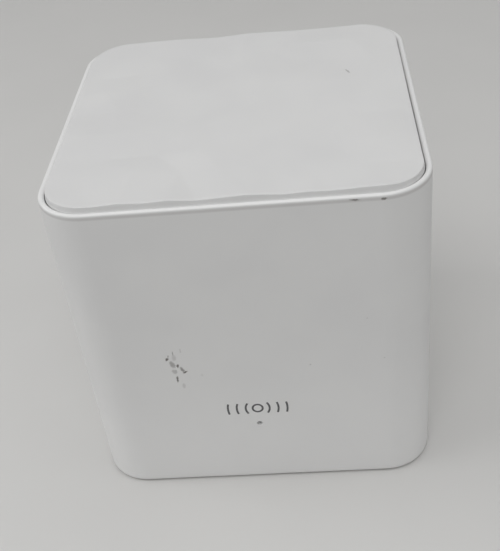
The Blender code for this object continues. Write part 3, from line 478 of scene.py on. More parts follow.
class Finish:
    """A Principled material with short calls for the nodes that vary it. Lengths are real ones."""

    def __init__(self, name, colour, roughness, metallic=0.0):
        self.material = bpy.data.materials.new(name)
        self.material.use_nodes = True
        self.tree = self.material.node_tree
        self.surface = self.tree.nodes["Principled BSDF"]
        self.colour = (*colour, 1.0)
        self.roughness = roughness
        self.normal = None
        for name, value in (("Metallic", metallic), ("Roughness", roughness), ("Base Color", self.colour)):
            self.feed(self.surface.inputs[name], value)
        self.place = self.tree.nodes.new("ShaderNodeTexCoord").outputs["Object"]

    def node(self, kind, **inputs):
        made = self.tree.nodes.new(kind)
        for name, value in inputs.items():
            self.feed(made.inputs[name.replace("_", " ")], value)
        return made

    def feed(self, socket, value):
        if isinstance(value, bpy.types.NodeSocket):
            self.tree.links.new(value, socket)
        else:
            socket.default_value = value

    def math(self, operation, first, second=0.0, kind="ShaderNodeMath"):
        made = self.tree.nodes.new(kind)
        made.operation = operation
        self.feed(made.inputs[0], first)
        self.feed(made.inputs[1], second)
        return made.outputs[0]

    def noise(self, feature, detail=2.0, place=None, output="Fac"):
        """Noise whose features are about the given length across."""
        place = place or self.place
        made = self.node("ShaderNodeTexNoise", Scale=1.0 / feature, Detail=detail, Vector=place)
        return made.outputs[output]

    def span(self, value, low, high, to_low=0.0, to_high=1.0):
        """Maps a value between two limits to a smooth step between two results."""
        made = self.node("ShaderNodeMapRange", Value=value, From_Min=low, From_Max=high)
        made.interpolation_type = "SMOOTHSTEP"
        self.feed(made.inputs["To Min"], to_low)
        self.feed(made.inputs["To Max"], to_high)
        return made.outputs["Result"]

    def along(self, axis):
        """Distance from the origin along X, Y or Z."""
        return self.node("ShaderNodeSeparateXYZ", Vector=self.place).outputs[axis]

    def tint(self, colour, amount):
        """Mixes a colour over what is there, by an amount from 0 to 1."""
        made = self.tree.nodes.new("ShaderNodeMix")
        made.data_type = "RGBA"
        self.feed(made.inputs["Factor"], amount)
        below, above = [socket for socket in made.inputs if socket.type == "RGBA"]
        self.feed(below, self.colour)
        self.feed(above, (*colour, 1.0))
        self.colour = [socket for socket in made.outputs if socket.type == "RGBA"][0]
        self.tree.links.new(self.colour, self.surface.inputs["Base Color"])
        return self

    def roughen(self, change):
        """Adds a signed change to the roughness."""
        self.roughness = self.math("ADD", self.roughness, change)
        self.tree.links.new(self.roughness, self.surface.inputs["Roughness"])
        return self

    def bump(self, height, distance, strength=1.0):
        made = self.node("ShaderNodeBump", Height=height, Distance=distance, Strength=strength)
        if self.normal:
            self.feed(made.inputs["Normal"], self.normal)
        self.normal = made.outputs["Normal"]
        self.tree.links.new(self.normal, self.surface.inputs["Normal"])
        return self

    def mottle(self, colour, feature, amount):
        """Broad, faint unevenness of colour."""
        return self.tint(colour, self.span(self.noise(feature), 0.35, 0.7, to_high=amount))

    def uneven(self, feature, amount):
        """Broad unevenness of shine."""
        return self.roughen(self.span(self.noise(feature, detail=3.0), 0.3, 0.7, -amount, amount))

    def grain(self, feature, depth, strength=1.0):
        """The fine texture of a moulded or blasted surface."""
        return self.bump(self.noise(feature, detail=1.0), depth, strength)

    def ragged_place(self, feature, shift):
        """Coordinates that wander a little, for marks with broken edges."""
        kind = "ShaderNodeVectorMath"
        wander = self.noise(feature, detail=3.0, output="Color")
        centred = self.math("SUBTRACT", wander, (0.5, 0.5, 0.5), kind)
        scaled = self.math("MULTIPLY", centred, (shift, shift, shift), kind)
        return self.math("ADD", self.place, scaled, kind)

    def spot(self, place, at, size, turn):
        """1 inside an ellipsoid, falling to 0 at its edge."""
        made = self.node("ShaderNodeMapping", Vector=place, Location=at, Rotation=turn, Scale=size)
        made.vector_type = "TEXTURE"
        length = self.node("ShaderNodeVectorMath", Vector=made.outputs[0])
        length.operation = "LENGTH"
        return self.span(length.outputs["Value"], SPOT_CORE, 1.0, to_low=1.0, to_high=0.0)


# ---- materials

WHITE = (0.80, 0.80, 0.795)
DIRT = (0.10, 0.085, 0.075)

# Marks on the front, in millimetres: place across and up, half width and length, lean in degrees, darkness
FRONT_SCUFFS = (
    (-20.7, 45.4, 0.52, 0.72, 35, 0.9),
    (-20.3, 46.3, 0.28, 0.55, 20, 0.5),
    (-19.7, 43.6, 0.8, 1.65, -12, 0.5),
    (-19.2, 43.3, 0.34, 1.2, -6, 0.45),
    (-19.5, 41.1, 0.75, 1.15, -20, 0.34),
    (-19.0, 41.2, 0.3, 0.8, -10, 0.4),
    (-18.9, 45.7, 0.75, 1.3, 5, 0.22),
    (-18.4, 43.0, 0.42, 0.82, 5, 0.9),
    (-17.4, 41.7, 0.55, 1.3, -24, 0.65),
    (-16.8, 40.8, 0.34, 0.92, 58, 0.9),
    (-19.1, 38.5, 0.38, 1.45, 4, 0.85),
    (-19.0, 47.2, 0.26, 0.95, 0, 0.5),
    (-17.0, 48.0, 0.26, 0.9, 0, 0.2),
    (-17.8, 36.1, 0.6, 1.2, 5, 0.2),
    (-12.7, 39.5, 0.5, 0.6, 0, 0.1),
    (14.5, 41.0, 0.3, 0.4, 0, 0.22),
    (32.7, 42.0, 0.35, 0.35, 0, 0.18),
    (28.8, 55.0, 0.3, 0.35, 0, 0.14),
)
RIM_SPECKS = ((27.0, 88.6, 1.5, 0.3, 3, 0.75), (33.3, 88.4, 0.9, 0.4, -6, 0.8))
PANEL_SCRATCH = (28.7, 13.3, 0.36, 1.9, 24, 0.4)
# How fine and wide a mark's ragged edge is, how deep it reaches, and how much of it is fully dark
MARK_WANDER = (0.5 * MM, 0.6 * MM)
MARK_DEPTH = 3 * MM
SPOT_CORE = 0.35


def darker(colour, share):
    return tuple(share * part for part in colour)


def front_marks(finish):
    """Scuffs and specks of dirt on the front wall."""
    ragged = finish.ragged_place(*MARK_WANDER)
    total = None
    for x, z, half_width, half_length, lean, darkness in FRONT_SCUFFS + RIM_SPECKS:
        size = (half_width * MM, MARK_DEPTH, half_length * MM)
        turn = (0, math.radians(lean), 0)
        mark = finish.math("MULTIPLY", finish.spot(ragged, (x * MM, FRONT, z * MM), size, turn), darkness)
        total = mark if total is None else finish.math("MAXIMUM", total, mark)
    return finish.tint(DIRT, total)


def white_plastic(name):
    """Matte white plastic with a fine spark-eroded grain."""
    finish = Finish(name, WHITE, 0.46)
    finish.mottle((0.765, 0.765, 0.765), feature=22 * MM, amount=0.6)
    finish.uneven(feature=6 * MM, amount=0.035)
    finish.grain(feature=0.22 * MM, depth=0.01 * MM, strength=0.6)
    return finish


def shell_finish():
    """White plastic with a polished rim crest lightened by a painted highlight, a dark line of painted shade
    under the rim, painted bounce light that grows paler towards the foot, a mottled darker band along the
    foot, and marks.
    """
    finish = white_plastic("shell_plastic")
    height = finish.along("Z")
    # Near the crest the roughness drops for polish, and the colour is lightened: a painted highlight.
    polish_and_painted_highlight = finish.span(height, RIM_TOP - 0.5 * MM, RIM_TOP - 0.1 * MM)
    finish.roughen(finish.math("MULTIPLY", polish_and_painted_highlight, -0.12))
    finish.tint((0.93, 0.93, 0.925), finish.math("MULTIPLY", polish_and_painted_highlight, 0.9))
    # A dark line painted just under the rim crest: painted shade.
    shade_line_at = RIM_TOP - 1.0 * MM
    from_shade_line = finish.math("ABSOLUTE", finish.math("SUBTRACT", height, shade_line_at))
    finish.tint((0.48, 0.47, 0.46), finish.span(from_shade_line, 0.1 * MM, 0.6 * MM, to_low=0.42, to_high=0.0))
    # Paler from 60 mm down to 5 mm: painted bounce light from the floor.
    finish.tint((0.92, 0.92, 0.915), finish.span(height, 60 * MM, 5 * MM, to_high=0.55))
    # A mottled darker band within 1.2 mm of the foot.
    foot_darkening = finish.span(height, SHELL_BOTTOM + 1.2 * MM, SHELL_BOTTOM, to_high=0.35)
    finish.tint((0.45, 0.43, 0.41), finish.math("MULTIPLY", foot_darkening, finish.noise(3 * MM, detail=3.0)))
    return front_marks(finish).material


def panel_finish():
    """White plastic with one short scratch."""
    finish = white_plastic("panel_plastic")
    x, y, half_width, half_length, lean, darkness = PANEL_SCRATCH
    ragged = finish.ragged_place(*MARK_WANDER)
    size = (half_width * MM, half_length * MM, 2 * MARK_DEPTH)
    mark = finish.spot(ragged, (x * MM, y * MM, PANEL_HIGH.z), size, (0, 0, math.radians(lean)))
    finish.tint(DIRT, finish.math("MULTIPLY", mark, darkness))
    return finish.material


def plain_plastic(name, colour, roughness):
    finish = Finish(name, colour, roughness)
    finish.mottle(darker(colour, 0.93), feature=9 * MM, amount=0.7)
    finish.uneven(feature=3 * MM, amount=0.05)
    finish.grain(feature=0.25 * MM, depth=0.012 * MM, strength=0.7)
    return finish.material


def ink_finish():
    finish = Finish("sign_ink", (0.085, 0.085, 0.09), 0.5)
    finish.mottle((0.16, 0.16, 0.165), feature=0.5 * MM, amount=0.8)
    finish.uneven(feature=0.6 * MM, amount=0.08)
    return finish.material


def rubber_finish():
    finish = Finish("foot_rubber", (0.20, 0.20, 0.205), 0.85)
    finish.mottle((0.32, 0.31, 0.30), feature=1.5 * MM, amount=0.6)
    finish.uneven(feature=1.0 * MM, amount=0.06)
    finish.grain(feature=0.15 * MM, depth=0.03 * MM)
    return finish.material


def metal_finish(name, colour, roughness, brushed):
    """Sheet or turned metal; brushed gives the direction in which its scratches are stretched."""
    finish = Finish(name, colour, roughness, 1.0)
    finish.mottle(darker(colour, 0.82), feature=2 * MM, amount=0.8)
    finish.uneven(feature=1.2 * MM, amount=0.08)
    if brushed:
        stretched = finish.node("ShaderNodeMapping", Vector=finish.place, Scale=brushed).outputs[0]
        finish.bump(finish.noise(0.2 * MM, place=stretched), distance=0.01 * MM, strength=0.7)
    else:
        finish.grain(feature=0.3 * MM, depth=0.008 * MM)
    return finish.material


def board_finish():
    """Green solder mask over a faint lattice of copper tracks."""
    finish = Finish("circuit_board", (0.012, 0.13, 0.06), 0.32)
    tracks = finish.node("ShaderNodeTexVoronoi", Scale=1.0 / (2.6 * MM), Vector=finish.place)
    tracks.distance = "MANHATTAN"
    tracks.feature = "F1"
    ridge = finish.span(tracks.outputs["Distance"], 0.42, 0.5)
    finish.tint((0.03, 0.24, 0.12), finish.math("MULTIPLY", ridge, 0.7))
    finish.uneven(feature=1.5 * MM, amount=0.06)
    finish.bump(ridge, distance=0.03 * MM, strength=0.6)
    return finish.material


def clear_finish():
    finish = Finish("clear_plastic", (0.86, 0.88, 0.88), 0.22)
    finish.surface.inputs["Transmission Weight"].default_value = 0.55
    finish.surface.inputs["IOR"].default_value = 1.49
    finish.mottle((0.70, 0.72, 0.72), feature=0.6 * MM, amount=0.5)
    finish.uneven(feature=0.5 * MM, amount=0.06)
    finish.grain(feature=0.1 * MM, depth=0.004 * MM)
    return finish.material


def film_finish():
    """The blank label: satin film with a faint orange-peel surface."""
    finish = Finish("label_film", (0.74, 0.74, 0.73), 0.38)
    finish.mottle((0.66, 0.66, 0.66), feature=6 * MM, amount=0.5)
    finish.uneven(feature=2 * MM, amount=0.05)
    finish.grain(feature=0.5 * MM, depth=0.01 * MM, strength=0.5)
    return finish.material


# Plain plastics and the like: colour and roughness
PLASTICS = {
    "base_plastic": ((0.66, 0.66, 0.655), 0.5),
    "frame_plastic": ((0.62, 0.62, 0.61), 0.5),
    "bezel_plastic": ((0.36, 0.36, 0.37), 0.5),
    "button_plastic": ((0.52, 0.52, 0.53), 0.42),
    "pin_plastic": ((0.75, 0.75, 0.74), 0.4),
    "black_plastic": ((0.022, 0.022, 0.024), 0.42),
    "chip_black": ((0.03, 0.03, 0.032), 0.6),
    "inductor_core": ((0.10, 0.10, 0.105), 0.7),
    "lead_jacket": ((0.035, 0.035, 0.037), 0.45),
    "thermal_pad": ((0.30, 0.38, 0.48), 0.8),
}
# Bare metals: colour, roughness and how far the brushing is stretched along each axis
METALS = {
    "screw_steel": ((0.50, 0.50, 0.52), 0.36, None),
    "socket_steel": ((0.66, 0.66, 0.68), 0.30, (0.12, 1.0, 1.0)),
    "sink_aluminium": ((0.74, 0.75, 0.76), 0.38, (1.0, 0.1, 1.0)),
    "contact_gold": ((0.92, 0.68, 0.30), 0.24, None),
}
MATERIALS = {
    "shell_plastic": shell_finish(),
    "panel_plastic": panel_finish(),
    "label_film": film_finish(),
    "foot_rubber": rubber_finish(),
    "circuit_board": board_finish(),
    "clear_plastic": clear_finish(),
    **{name: plain_plastic(name, *look) for name, look in PLASTICS.items()},
    **{name: metal_finish(name, *look) for name, look in METALS.items()},
}
INK = ink_finish()
PALE_INK = plain_plastic("icon_ink", (0.86, 0.86, 0.86), 0.5)
SLOTS = {part["node"]: part["material_slot"] for part in frame["record"]["subparts"]}


# ---- outer shell


def shell_profile():
    """Section of the sleeve: round foot, straight wall, rolled rim, seat and ledge for the panel."""
    foot = FOOT_ROUND
    outer, inner = RIM_OUTER_ROUND, RIM_WIDTH - RIM_OUTER_ROUND
    points = arc((foot, SHELL_BOTTOM + foot), foot, 270, 180)
    points += arc((outer, RIM_TOP - outer), outer, 180, 90, steps=8)
    points += arc((outer, RIM_TOP - RIM_INNER_DROP), inner, 90, 0, steps=10, rise=RIM_INNER_DROP)[1:]
    points += [(RIM_WIDTH, SEAT), (LEDGE_INSET, SEAT), (LEDGE_INSET, SEAT - LEDGE_DEPTH)]
    points += [(WALL, SEAT - LEDGE_DEPTH - (LEDGE_INSET - WALL) / 2)]
    points += arc((WALL - foot, SHELL_BOTTOM + foot), foot, 0, -90)
    return points


def corner_places():
    """Where the bosses, the feet and the base screws are."""
    return {
        f"{depth}_{side}": (sx * BOSS_AT, sy * BOSS_AT)
        for depth, sy in (("front", -1), ("rear", 1))
        for side, sx in (("left", -1), ("right", 1))
    }


def shell():
    """The square sleeve with its rear window, the hole of the light and four ribbed screw bosses."""
    outline = rounded_rectangle(HALF, HALF, CORNER, CORNER_STEPS)
    sleeve = sweep("shell_sleeve", outline, shell_profile(), loop=True)
    window = rounded_rectangle(*WINDOW_HALF, WINDOW_CORNER)
    hole = circle(LIGHT_HOLE, steps=40)
    inside = 3 * WALL
    cut(
        sleeve,
        opening("window_cutter", window, REAR - inside, REAR, EDGE_ROUND, rearwards(0, PORT_Z)),
        opening("light_cutter", hole, FRONT + inside, FRONT, LIGHT_FLARE, rearwards(0, LIGHT_Z)),
    )
    for x, y in corner_places().values():
        boss = standing_rod("boss", (x, y), BOSS_RADIUS, BOSS_BOTTOM, BOSS_TOP, steps=32)
        rib_low = (0, -RIB_HALF, BOSS_BOTTOM + RIB_HALF)
        rib = block("rib", rib_low, (RIB_LENGTH, RIB_HALF, BOSS_TOP - RIB_HALF))
        rib.data.transform(Matrix.Translation((x, y, 0)) @ Matrix.Rotation(math.atan2(y, x), 4, "Z"))
        join(sleeve, rib, boss)
        cut(sleeve, standing_rod("pilot", (x, y), PILOT_RADIUS, 0, BOSS_TOP - WALL, steps=24))
    stand_in(sleeve, "outer_shell")


# ---- top panel


def panel_reach(angle, inset):
    """Distance from the middle to the panel's rounded-square outline, in a direction."""
    half = PANEL_HALF - inset
    corner = CORNER - (HALF - PANEL_HALF) - inset
    dx, dy = abs(math.cos(angle)), abs(math.sin(angle))
    flat = half / max(dx, dy)
    if flat * min(dx, dy) <= half - corner:
        return flat
    centre = half - corner
    along = centre * (dx + dy)
    return along + math.sqrt(along * along - 2 * centre * centre + corner * corner)


def relief_sampler():
    """Height of the CAD panel's faceted face, averaged over a small disc so that creases are soft."""
    tree = BVHTree.FromObject(frame["nodes"]["top_panel"], bpy.context.evaluated_depsgraph_get())
    offsets = [Vector((x, y, 0)) for x, y in ((0, 0), *circle(CREASE_SOFTNESS, 8)(0))]
    above = Vector((0, 0, 2 * PANEL_HIGH.z))
    down = Vector((0, 0, -1))
    nearly_all = 1 - (CREASE_SOFTNESS + 0.1 * MM) / PANEL_HALF

    def height(x, y):
        middle_point = Vector((x, y, 0)) * nearly_all
        hits = [tree.ray_cast(middle_point + offset + above, down)[0].z for offset in offsets]
        return sum(hits) / len(hits)

    return height


def panel_ring(bm, inner, angles, inset, height):
    """Adds a ring of points at an inset of the panel's outline and joins it to the one before."""
    outer = []
    for angle in angles:
        reach = panel_reach(angle, inset)
        x, y = reach * math.cos(angle), reach * math.sin(angle)
        outer.append(bm.verts.new((x, y, height(x, y))))
    count = len(outer)
    for i in range(count):
        j = (i + 1) % count
        bm.faces.new((inner[i], outer[i], outer[j], inner[j]))
    return outer


def panel_face(bm, height):
    """The faceted face as a grid drawn out to the rounded square. Gives the grid's border, in order."""
    cells = PANEL_CELLS
    grid = {}
    for i in range(cells + 1):
        for j in range(cells + 1):
            u, v = 2 * i / cells - 1, 2 * j / cells - 1
            angle = math.atan2(v, u)
            reach = panel_reach(angle, PANEL_EDGE) * max(abs(u), abs(v))
            x, y = reach * math.cos(angle), reach * math.sin(angle)
            grid[i, j] = bm.verts.new((x, y, height(x, y)))
    for i in range(cells):
        for j in range(cells):
            bm.faces.new((grid[i, j], grid[i + 1, j], grid[i + 1, j + 1], grid[i, j + 1]))
    border = [grid[i, 0] for i in range(cells)] + [grid[cells, j] for j in range(cells)]
    return border + [grid[i, cells] for i in range(cells, 0, -1)] + [grid[0, j] for j in range(cells, 0, -1)]


def panel():
    """The panel: faceted face, rounded edge, a side hollowed by a shallow cove, a skirt and four hooks."""
    height = relief_sampler()
    bm = bmesh.new()
    ring = panel_face(bm, height)
    angles = [math.atan2(vert.co.y, vert.co.x) for vert in ring]
    for across, up in arc((0, 0), PANEL_EDGE, 90, 0, steps=4)[1:]:
        ring = panel_ring(bm, ring, angles, PANEL_EDGE - across, lambda x, y: height(x, y) - PANEL_EDGE + up)
    low = PANEL_BOTTOM
    chamfer = 0.2 * MM
    cove = arc((-PANEL_FLARE, FLARE_TOP), PANEL_FLARE, 0, -90, steps=6, rise=FLARE_TOP - FLARE_FOOT)
    for inset, level in (
        *cove,
        (-PANEL_FLARE, low + chamfer),
        (chamfer - PANEL_FLARE, low),
        (PANEL_SKIRT, low),
        (PANEL_SKIRT, PANEL_CEILING),
    ):
        ring = panel_ring(bm, ring, angles, inset, lambda x, y: level)
    bm.faces.new(ring)
    plate = solid("panel_plate", bm)
    face = HALF - LEDGE_INSET - FIT
    nose_top = SEAT - LEDGE_DEPTH - FIT
    nose_bottom = PANEL_LOW.z
    hooks = []
    for turn in range(4):
        leg_low = (face - HOOK_THICK, -HOOK_WIDTH / 2, nose_bottom)
        leg = block("leg", leg_low, (face, HOOK_WIDTH / 2, PANEL_CEILING + FIT))
        nose_low = (face - HOOK_THICK / 2, -HOOK_WIDTH / 2, nose_bottom)
        nose = block("nose", nose_low, (face + HOOK_NOSE, HOOK_WIDTH / 2, nose_top), edge=0.3 * MM)
        join(leg, nose)
        leg.data.transform(Matrix.Rotation(math.radians(90 * turn), 4, "Z"))
        hooks.append(leg)
    join(plate, *hooks)
    stand_in(plate, "top_panel", sharp=45)


# ---- printed sign and status light


def sign():
    """A generic wireless sign: a ring with waves spreading to both sides."""
    strokes = [(circle(SIGN_RING, 40)(0), True)]
    for radius in SIGN_ARCS:
        spread = math.degrees(math.asin(SIGN_HALF_HEIGHT / radius))
        for facing in (0, 180):
            strokes.append((arc((0, 0), radius, facing - spread, facing + spread, steps=14), False))

    def front_wall(x, y, height):
        return Vector((x, FRONT - height, SIGN_Z + y))

    dress(printed("printed_sign", strokes, SIGN_STROKE, front_wall), INK)


def light_pipe():
    """A clear rod from the board's LED, forward to the hole in the front wall."""
    low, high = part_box("light_pipe")
    radius = high.x
    back = high.y - radius
    wall_gap = 2 * FIT
    bend, tip_gap, tip_rise = 2.5 * MM, 0.12 * MM, 0.3 * MM
    path = curve_through((0, back, low.z), (0, back, LIGHT_Z), (0, FRONT + WALL, LIGHT_Z), bend)
    rod = tube("light_rod", path, radius, steps=24)
    tip_radius = LIGHT_HOLE - tip_gap
    face = FRONT + wall_gap
    dome = arc((0, face + tip_rise), tip_radius, -90, 0, steps=6, rise=tip_rise)[1:]
    tip_end = FRONT + WALL + FIT
    tip_profile = [(0, face), *dome, (tip_radius, tip_end), (0, tip_end)]
    join(rod, lathe("light_tip", tip_profile, rearwards(0, LIGHT_Z), steps=32))
    stand_in(rod, "light_pipe")


# ---- rear bezel


def floor_opening(node):
    """Outline of the bezel's opening round a socket, and its place."""
    low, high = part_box(node)
    corner = 0.4 * MM
    half_x, half_z = (high.x - low.x) / 2 + FIT, (high.z - low.z) / 2 + FIT
    to_world = rearwards((low.x + high.x) / 2, (low.z + high.z) / 2)
    return rounded_rectangle(half_x, half_z, corner, steps=3), to_world


def bezel():
    """The recessed tray in the rear window, with an opening for each socket."""
    half_x, half_z = (side - FIT for side in WINDOW_HALF)
    edge, hollow_corner, foot_round = BEZEL_EDGE, 1.2 * MM, 0.5 * MM
    outline = rounded_rectangle(half_x, half_z, WINDOW_CORNER - FIT, steps=8)
    profile = [(edge, BEZEL_LOW.y), (0, BEZEL_LOW.y + edge)]
    profile += arc((edge, BEZEL_LIP - edge), edge, 180, 90, 4)
    tray = sweep("bezel_tray", outline, profile, rearwards(0, PORT_Z))
    flange_half_x, flange_half_z = BEZEL_HIGH.x, (BEZEL_HIGH.z - BEZEL_LOW.z) / 2
    flange_back = REAR - WALL - FIT - BEZEL_WALL
    flange = sweep(
        "bezel_flange",
        rounded_rectangle(flange_half_x, flange_half_z, WINDOW_CORNER, steps=6),
        [(0, flange_back), (0, flange_back + BEZEL_WALL)],
        rearwards(0, (BEZEL_HIGH.z + BEZEL_LOW.z) / 2),
    )
    join(tray, flange)
    hollow = rounded_rectangle(half_x - BEZEL_WALL, half_z - BEZEL_WALL, hollow_corner, steps=8)
    cut(tray, opening("hollow", hollow, BEZEL_FACE, BEZEL_LIP, edge, rearwards(0, PORT_Z), foot_round))
    rooms = [floor_opening(node) for node in ("wan_jack_shield", "lan_jack_shield", "power_jack_body")]
    rooms.append((circle(BUTTON_RADIUS + FIT, 40), rearwards(*middle("reset_button").xz)))
    for room, to_world in rooms:
        cut(tray, opening("room", room, BEZEL_LOW.y - MM, BEZEL_FACE, SOFT, to_world))
    stand_in(tray, "port_bezel")


def icon_strokes():
    """Generic signs over the sockets: globe, local network, direct current, restart."""
    r = ICON_HALF
    bulge = 0.42
    meridian = [(bulge * x, y) for x, y in circle(r, 28)(0)]
    globe = [(circle(r, 32)(0), True), (meridian, True), ([(-r, 0), (r, 0)], False)]
    box_half = 0.26 * r
    network = []
    for x, y in ((0, 0.72 * r), (-r, -0.72 * r), (r, -0.72 * r)):
        corners = ((-1, -1), (1, -1), (1, 1), (-1, 1))
        network.append(([(x + sx * box_half, y + sy * box_half) for sx, sy in corners], True))
    network.append(([(0, 0.46 * r), (0, 0)], False))
    network.append(([(-r, -0.46 * r), (-r, 0), (r, 0), (r, -0.46 * r)], False))
    dash = 0.5 * r
    current = [([(-1.5 * r, 0.4 * r), (1.5 * r, 0.4 * r)], False)]
    for x in (-1.25 * r, 0, 1.25 * r):
        current.append(([(x - dash / 2, -0.4 * r), (x + dash / 2, -0.4 * r)], False))
    arrow = [(-0.1 * r, 1.45 * r), (0.35 * r, 1.0 * r), (-0.1 * r, 0.55 * r)]
    restart = [(arc((0, 0), r, -40, 240, steps=24), False), (arrow, False)]
    return {
        "wan_jack_shield": globe,
        "lan_jack_shield": network,
        "power_jack_body": current,
        "reset_button": restart,
    }


def icons():
    for node, strokes in icon_strokes().items():
        place = middle(node)
        height = ICON_Z if node != "reset_button" else place.z + BUTTON_RADIUS + 1.9 * MM

        def on_floor(x, y, rise, centre_x=place.x, centre_z=height):
            return Vector((centre_x - x, BEZEL_FACE + rise, centre_z + y))

        dress(printed(f"icon_{node.split('_')[0]}", strokes, ICON_STROKE, on_floor), PALE_INK)


# ---- network sockets


def contact_places():
    return [(index - (CONTACTS - 1) / 2) * CONTACT_PITCH for index in range(CONTACTS)]


def cavity_outline():
    """The plug's cavity with a stepped notch for its latch below it."""
    half_x, half_z = CAVITY_HALF
    right = []
    above = -half_z
    for half_width, drop in LATCH_STEPS:
        right += [(half_width, above), (half_width, -half_z - drop)]
        above = -half_z - drop
    notch = [(-x, z) for x, z in right] + right[::-1]
    return polygon([(-half_x, -half_z), *notch, (half_x, -half_z), (half_x, half_z), (-half_x, half_z)])


def network_socket(name):
    low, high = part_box(f"{name}_jack_housing")
    x = (low.x + high.x) / 2
    cavity_z = (low.z + high.z) / 2 + LATCH_STEPS[-1][1] / 2
    ceiling = cavity_z + CAVITY_HALF[1]
    housing = block(f"{name}_socket_body", low, high, edge=0.15 * MM)
    to_world = rearwards(x, cavity_z)
    comb_back, comb_front = high.y - CAVITY_DEPTH, high.y - 0.7 * MM
    cut(housing, opening("cavity", cavity_outline(), comb_back, high.y, SOFT, to_world, steps=2))
    for place in contact_places():
        slot_low = (x + place - COMB_WIDTH / 2, comb_back, ceiling - FIT)
        cut(housing, block("slot", slot_low, (x + place + COMB_WIDTH / 2, comb_front, ceiling + COMB_DEPTH)))
    stand_in(housing, f"{name}_jack_housing")

    bar_low, bar_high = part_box(f"{name}_jack_contacts")
    bar_thick = 1.6 * MM
    bar_front = bar_low.y + bar_thick
    edge = 0.1 * MM
    comb_high = (bar_high.x, bar_front, bar_high.z - edge)
    comb = block(f"{name}_contact_wires", bar_low, comb_high, edge)
    wires = []
    for place in contact_places():
        wire_x = x + place
        foot = (wire_x, bar_low.y + bar_thick / 2, bar_high.z - WIRE_REACH)
        bend_at = (wire_x, high.y - WIRE_REACH, ceiling + 0.35 * MM)
        tip = (wire_x, high.y - WIRE_REACH + MM, ceiling + 0.4 * MM)
        path = curve_through(foot, bend_at, tip, radius=1.5 * MM, steps=4)
        wires.append(tube("wire", path, CONTACT_RADIUS, steps=8))
    join(comb, *wires)
    stand_in(comb, f"{name}_jack_contacts")

    low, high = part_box(f"{name}_jack_shield")
    jacket = block(f"{name}_socket_jacket", low, high, edge=0.45 * MM, segments=3)
    inner_low = low + Vector((SHEET, SHEET, SHEET))
    cut(jacket, block("inside", inner_low, (high.x - SHEET, high.y + MM, high.z - SHEET), edge=0.2 * MM))
    cut_springs(jacket, low, high, x)
    stand_in(jacket, f"{name}_jack_shield")


def cut_springs(jacket, low, high, x):
    """Slits along both edges of the shield's spring tongues: two on top and one on each side."""
    slit, length, half_width, tongue_at = 0.25 * MM, 6 * MM, 1.1 * MM, 3.6 * MM
    reach = 2 * SHEET
    middle_z, start = (low.z + high.z) / 2, high.y - 1.4 * MM
    slits = []
    for side in (-1, 1):
        for offset in (-tongue_at, tongue_at):
            edge_x = x + offset + side * half_width
            top_low = (edge_x - slit / 2, start - length, high.z - reach)
            slits.append(block("slit", top_low, (edge_x + slit / 2, start, high.z + reach)))
        for face_x in (low.x, high.x):
            edge_z = middle_z + side * half_width
            side_low = (face_x - reach, start - length, edge_z - slit / 2)
            slits.append(block("slit", side_low, (face_x + reach, start, edge_z + slit / 2)))
    for cutter in slits:
        cut(jacket, cutter)


# ---- power socket


def power_socket():
    low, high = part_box("power_jack_body")
    x = (low.x + high.x) / 2
    to_world = rearwards(x, PORT_Z)
    body = block("power_socket_body", low, high, edge=0.35 * MM, segments=3)
    bore = opening("bore", circle(POWER_BORE), high.y - POWER_DEPTH, high.y, 0.4 * MM, to_world)
    groove_depth, groove_radius, groove_width = 0.18 * MM, 3.95 * MM, 0.3 * MM
    deep, clear = high.y - groove_depth, high.y + MM
    section = [(0, deep), (0, clear), (groove_width, clear), (groove_width, deep)]
    groove = sweep("groove", circle(groove_radius), section, to_world, loop=True)
    for cutter in (bore, groove):
        cut(body, cutter)
    stand_in(body, "power_jack_body")

    low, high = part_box("power_jack_pin")
    radius = (high.x - low.x) / 2
    tip = 0.45 * MM
    profile = [(0, low.y), (radius, low.y), (radius, high.y - tip)]
    profile += [*arc((radius - tip, high.y - tip), tip, 0, 90, 5)[1:], (0, high.y)]
    pin = lathe("power_socket_pin", profile, to_world, steps=32)
    slit = 0.14 * MM
    slit_low = (x - slit, high.y - 4.5 * MM, PORT_Z - 2 * radius)
    cut(pin, block("pin_slit", slit_low, (x + slit, high.y + MM, PORT_Z + 2 * radius)))
    stand_in(pin, "power_jack_pin")

    low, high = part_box("power_jack_spring")
    thick = 0.26 * MM
    rise = 0.55 * MM
    steps = 14
    path = []
    for step in range(steps + 1):
        share = step / steps
        lift = rise * math.sin(math.pi * min(1.0, share * 1.15)) ** 2
        path.append((low.y + share * (high.y - low.y), low.z + thick / 2 + lift))
    leaf = ribbon("power_socket_leaf", path, thick / 2, low.x, high.x)
    stand_in(leaf, "power_jack_spring")


# ---- reset button


def reset_button():
    low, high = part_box("reset_button")
    to_world = rearwards(*middle("reset_button").xz)
    flange = (high.x - low.x) / 2
    flange_front = low.y + 1.1 * MM
    soft, chamfer, dish = SOFT, 0.1 * MM, 0.16 * MM
    profile = [(0, high.y - dish), (0.5 * BUTTON_RADIUS, high.y - 0.8 * dish)]
    profile += [(BUTTON_RADIUS - 2 * soft, high.y - 0.1 * dish)]
    profile += arc((BUTTON_RADIUS - soft, high.y - soft), soft, 90, 0, 5)
    profile += [(BUTTON_RADIUS, flange_front), (flange - chamfer, flange_front)]
    profile += [(flange, flange_front - chamfer), (flange, low.y), (0, low.y)]
    stand_in(lathe("reset_cap", profile, to_world, steps=40), "reset_button")

    low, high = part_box("reset_switch_plunger")
    radius = (high.x - low.x) / 2
    edge = 0.2 * MM
    profile = [(0, high.y), (radius - edge, high.y), (radius, high.y - edge)]
    profile += [(radius, low.y + edge), (radius - edge, low.y), (0, low.y)]
    stand_in(lathe("switch_plunger", profile, to_world, steps=36), "reset_switch_plunger")


# ---- base plate, label, feet and screws


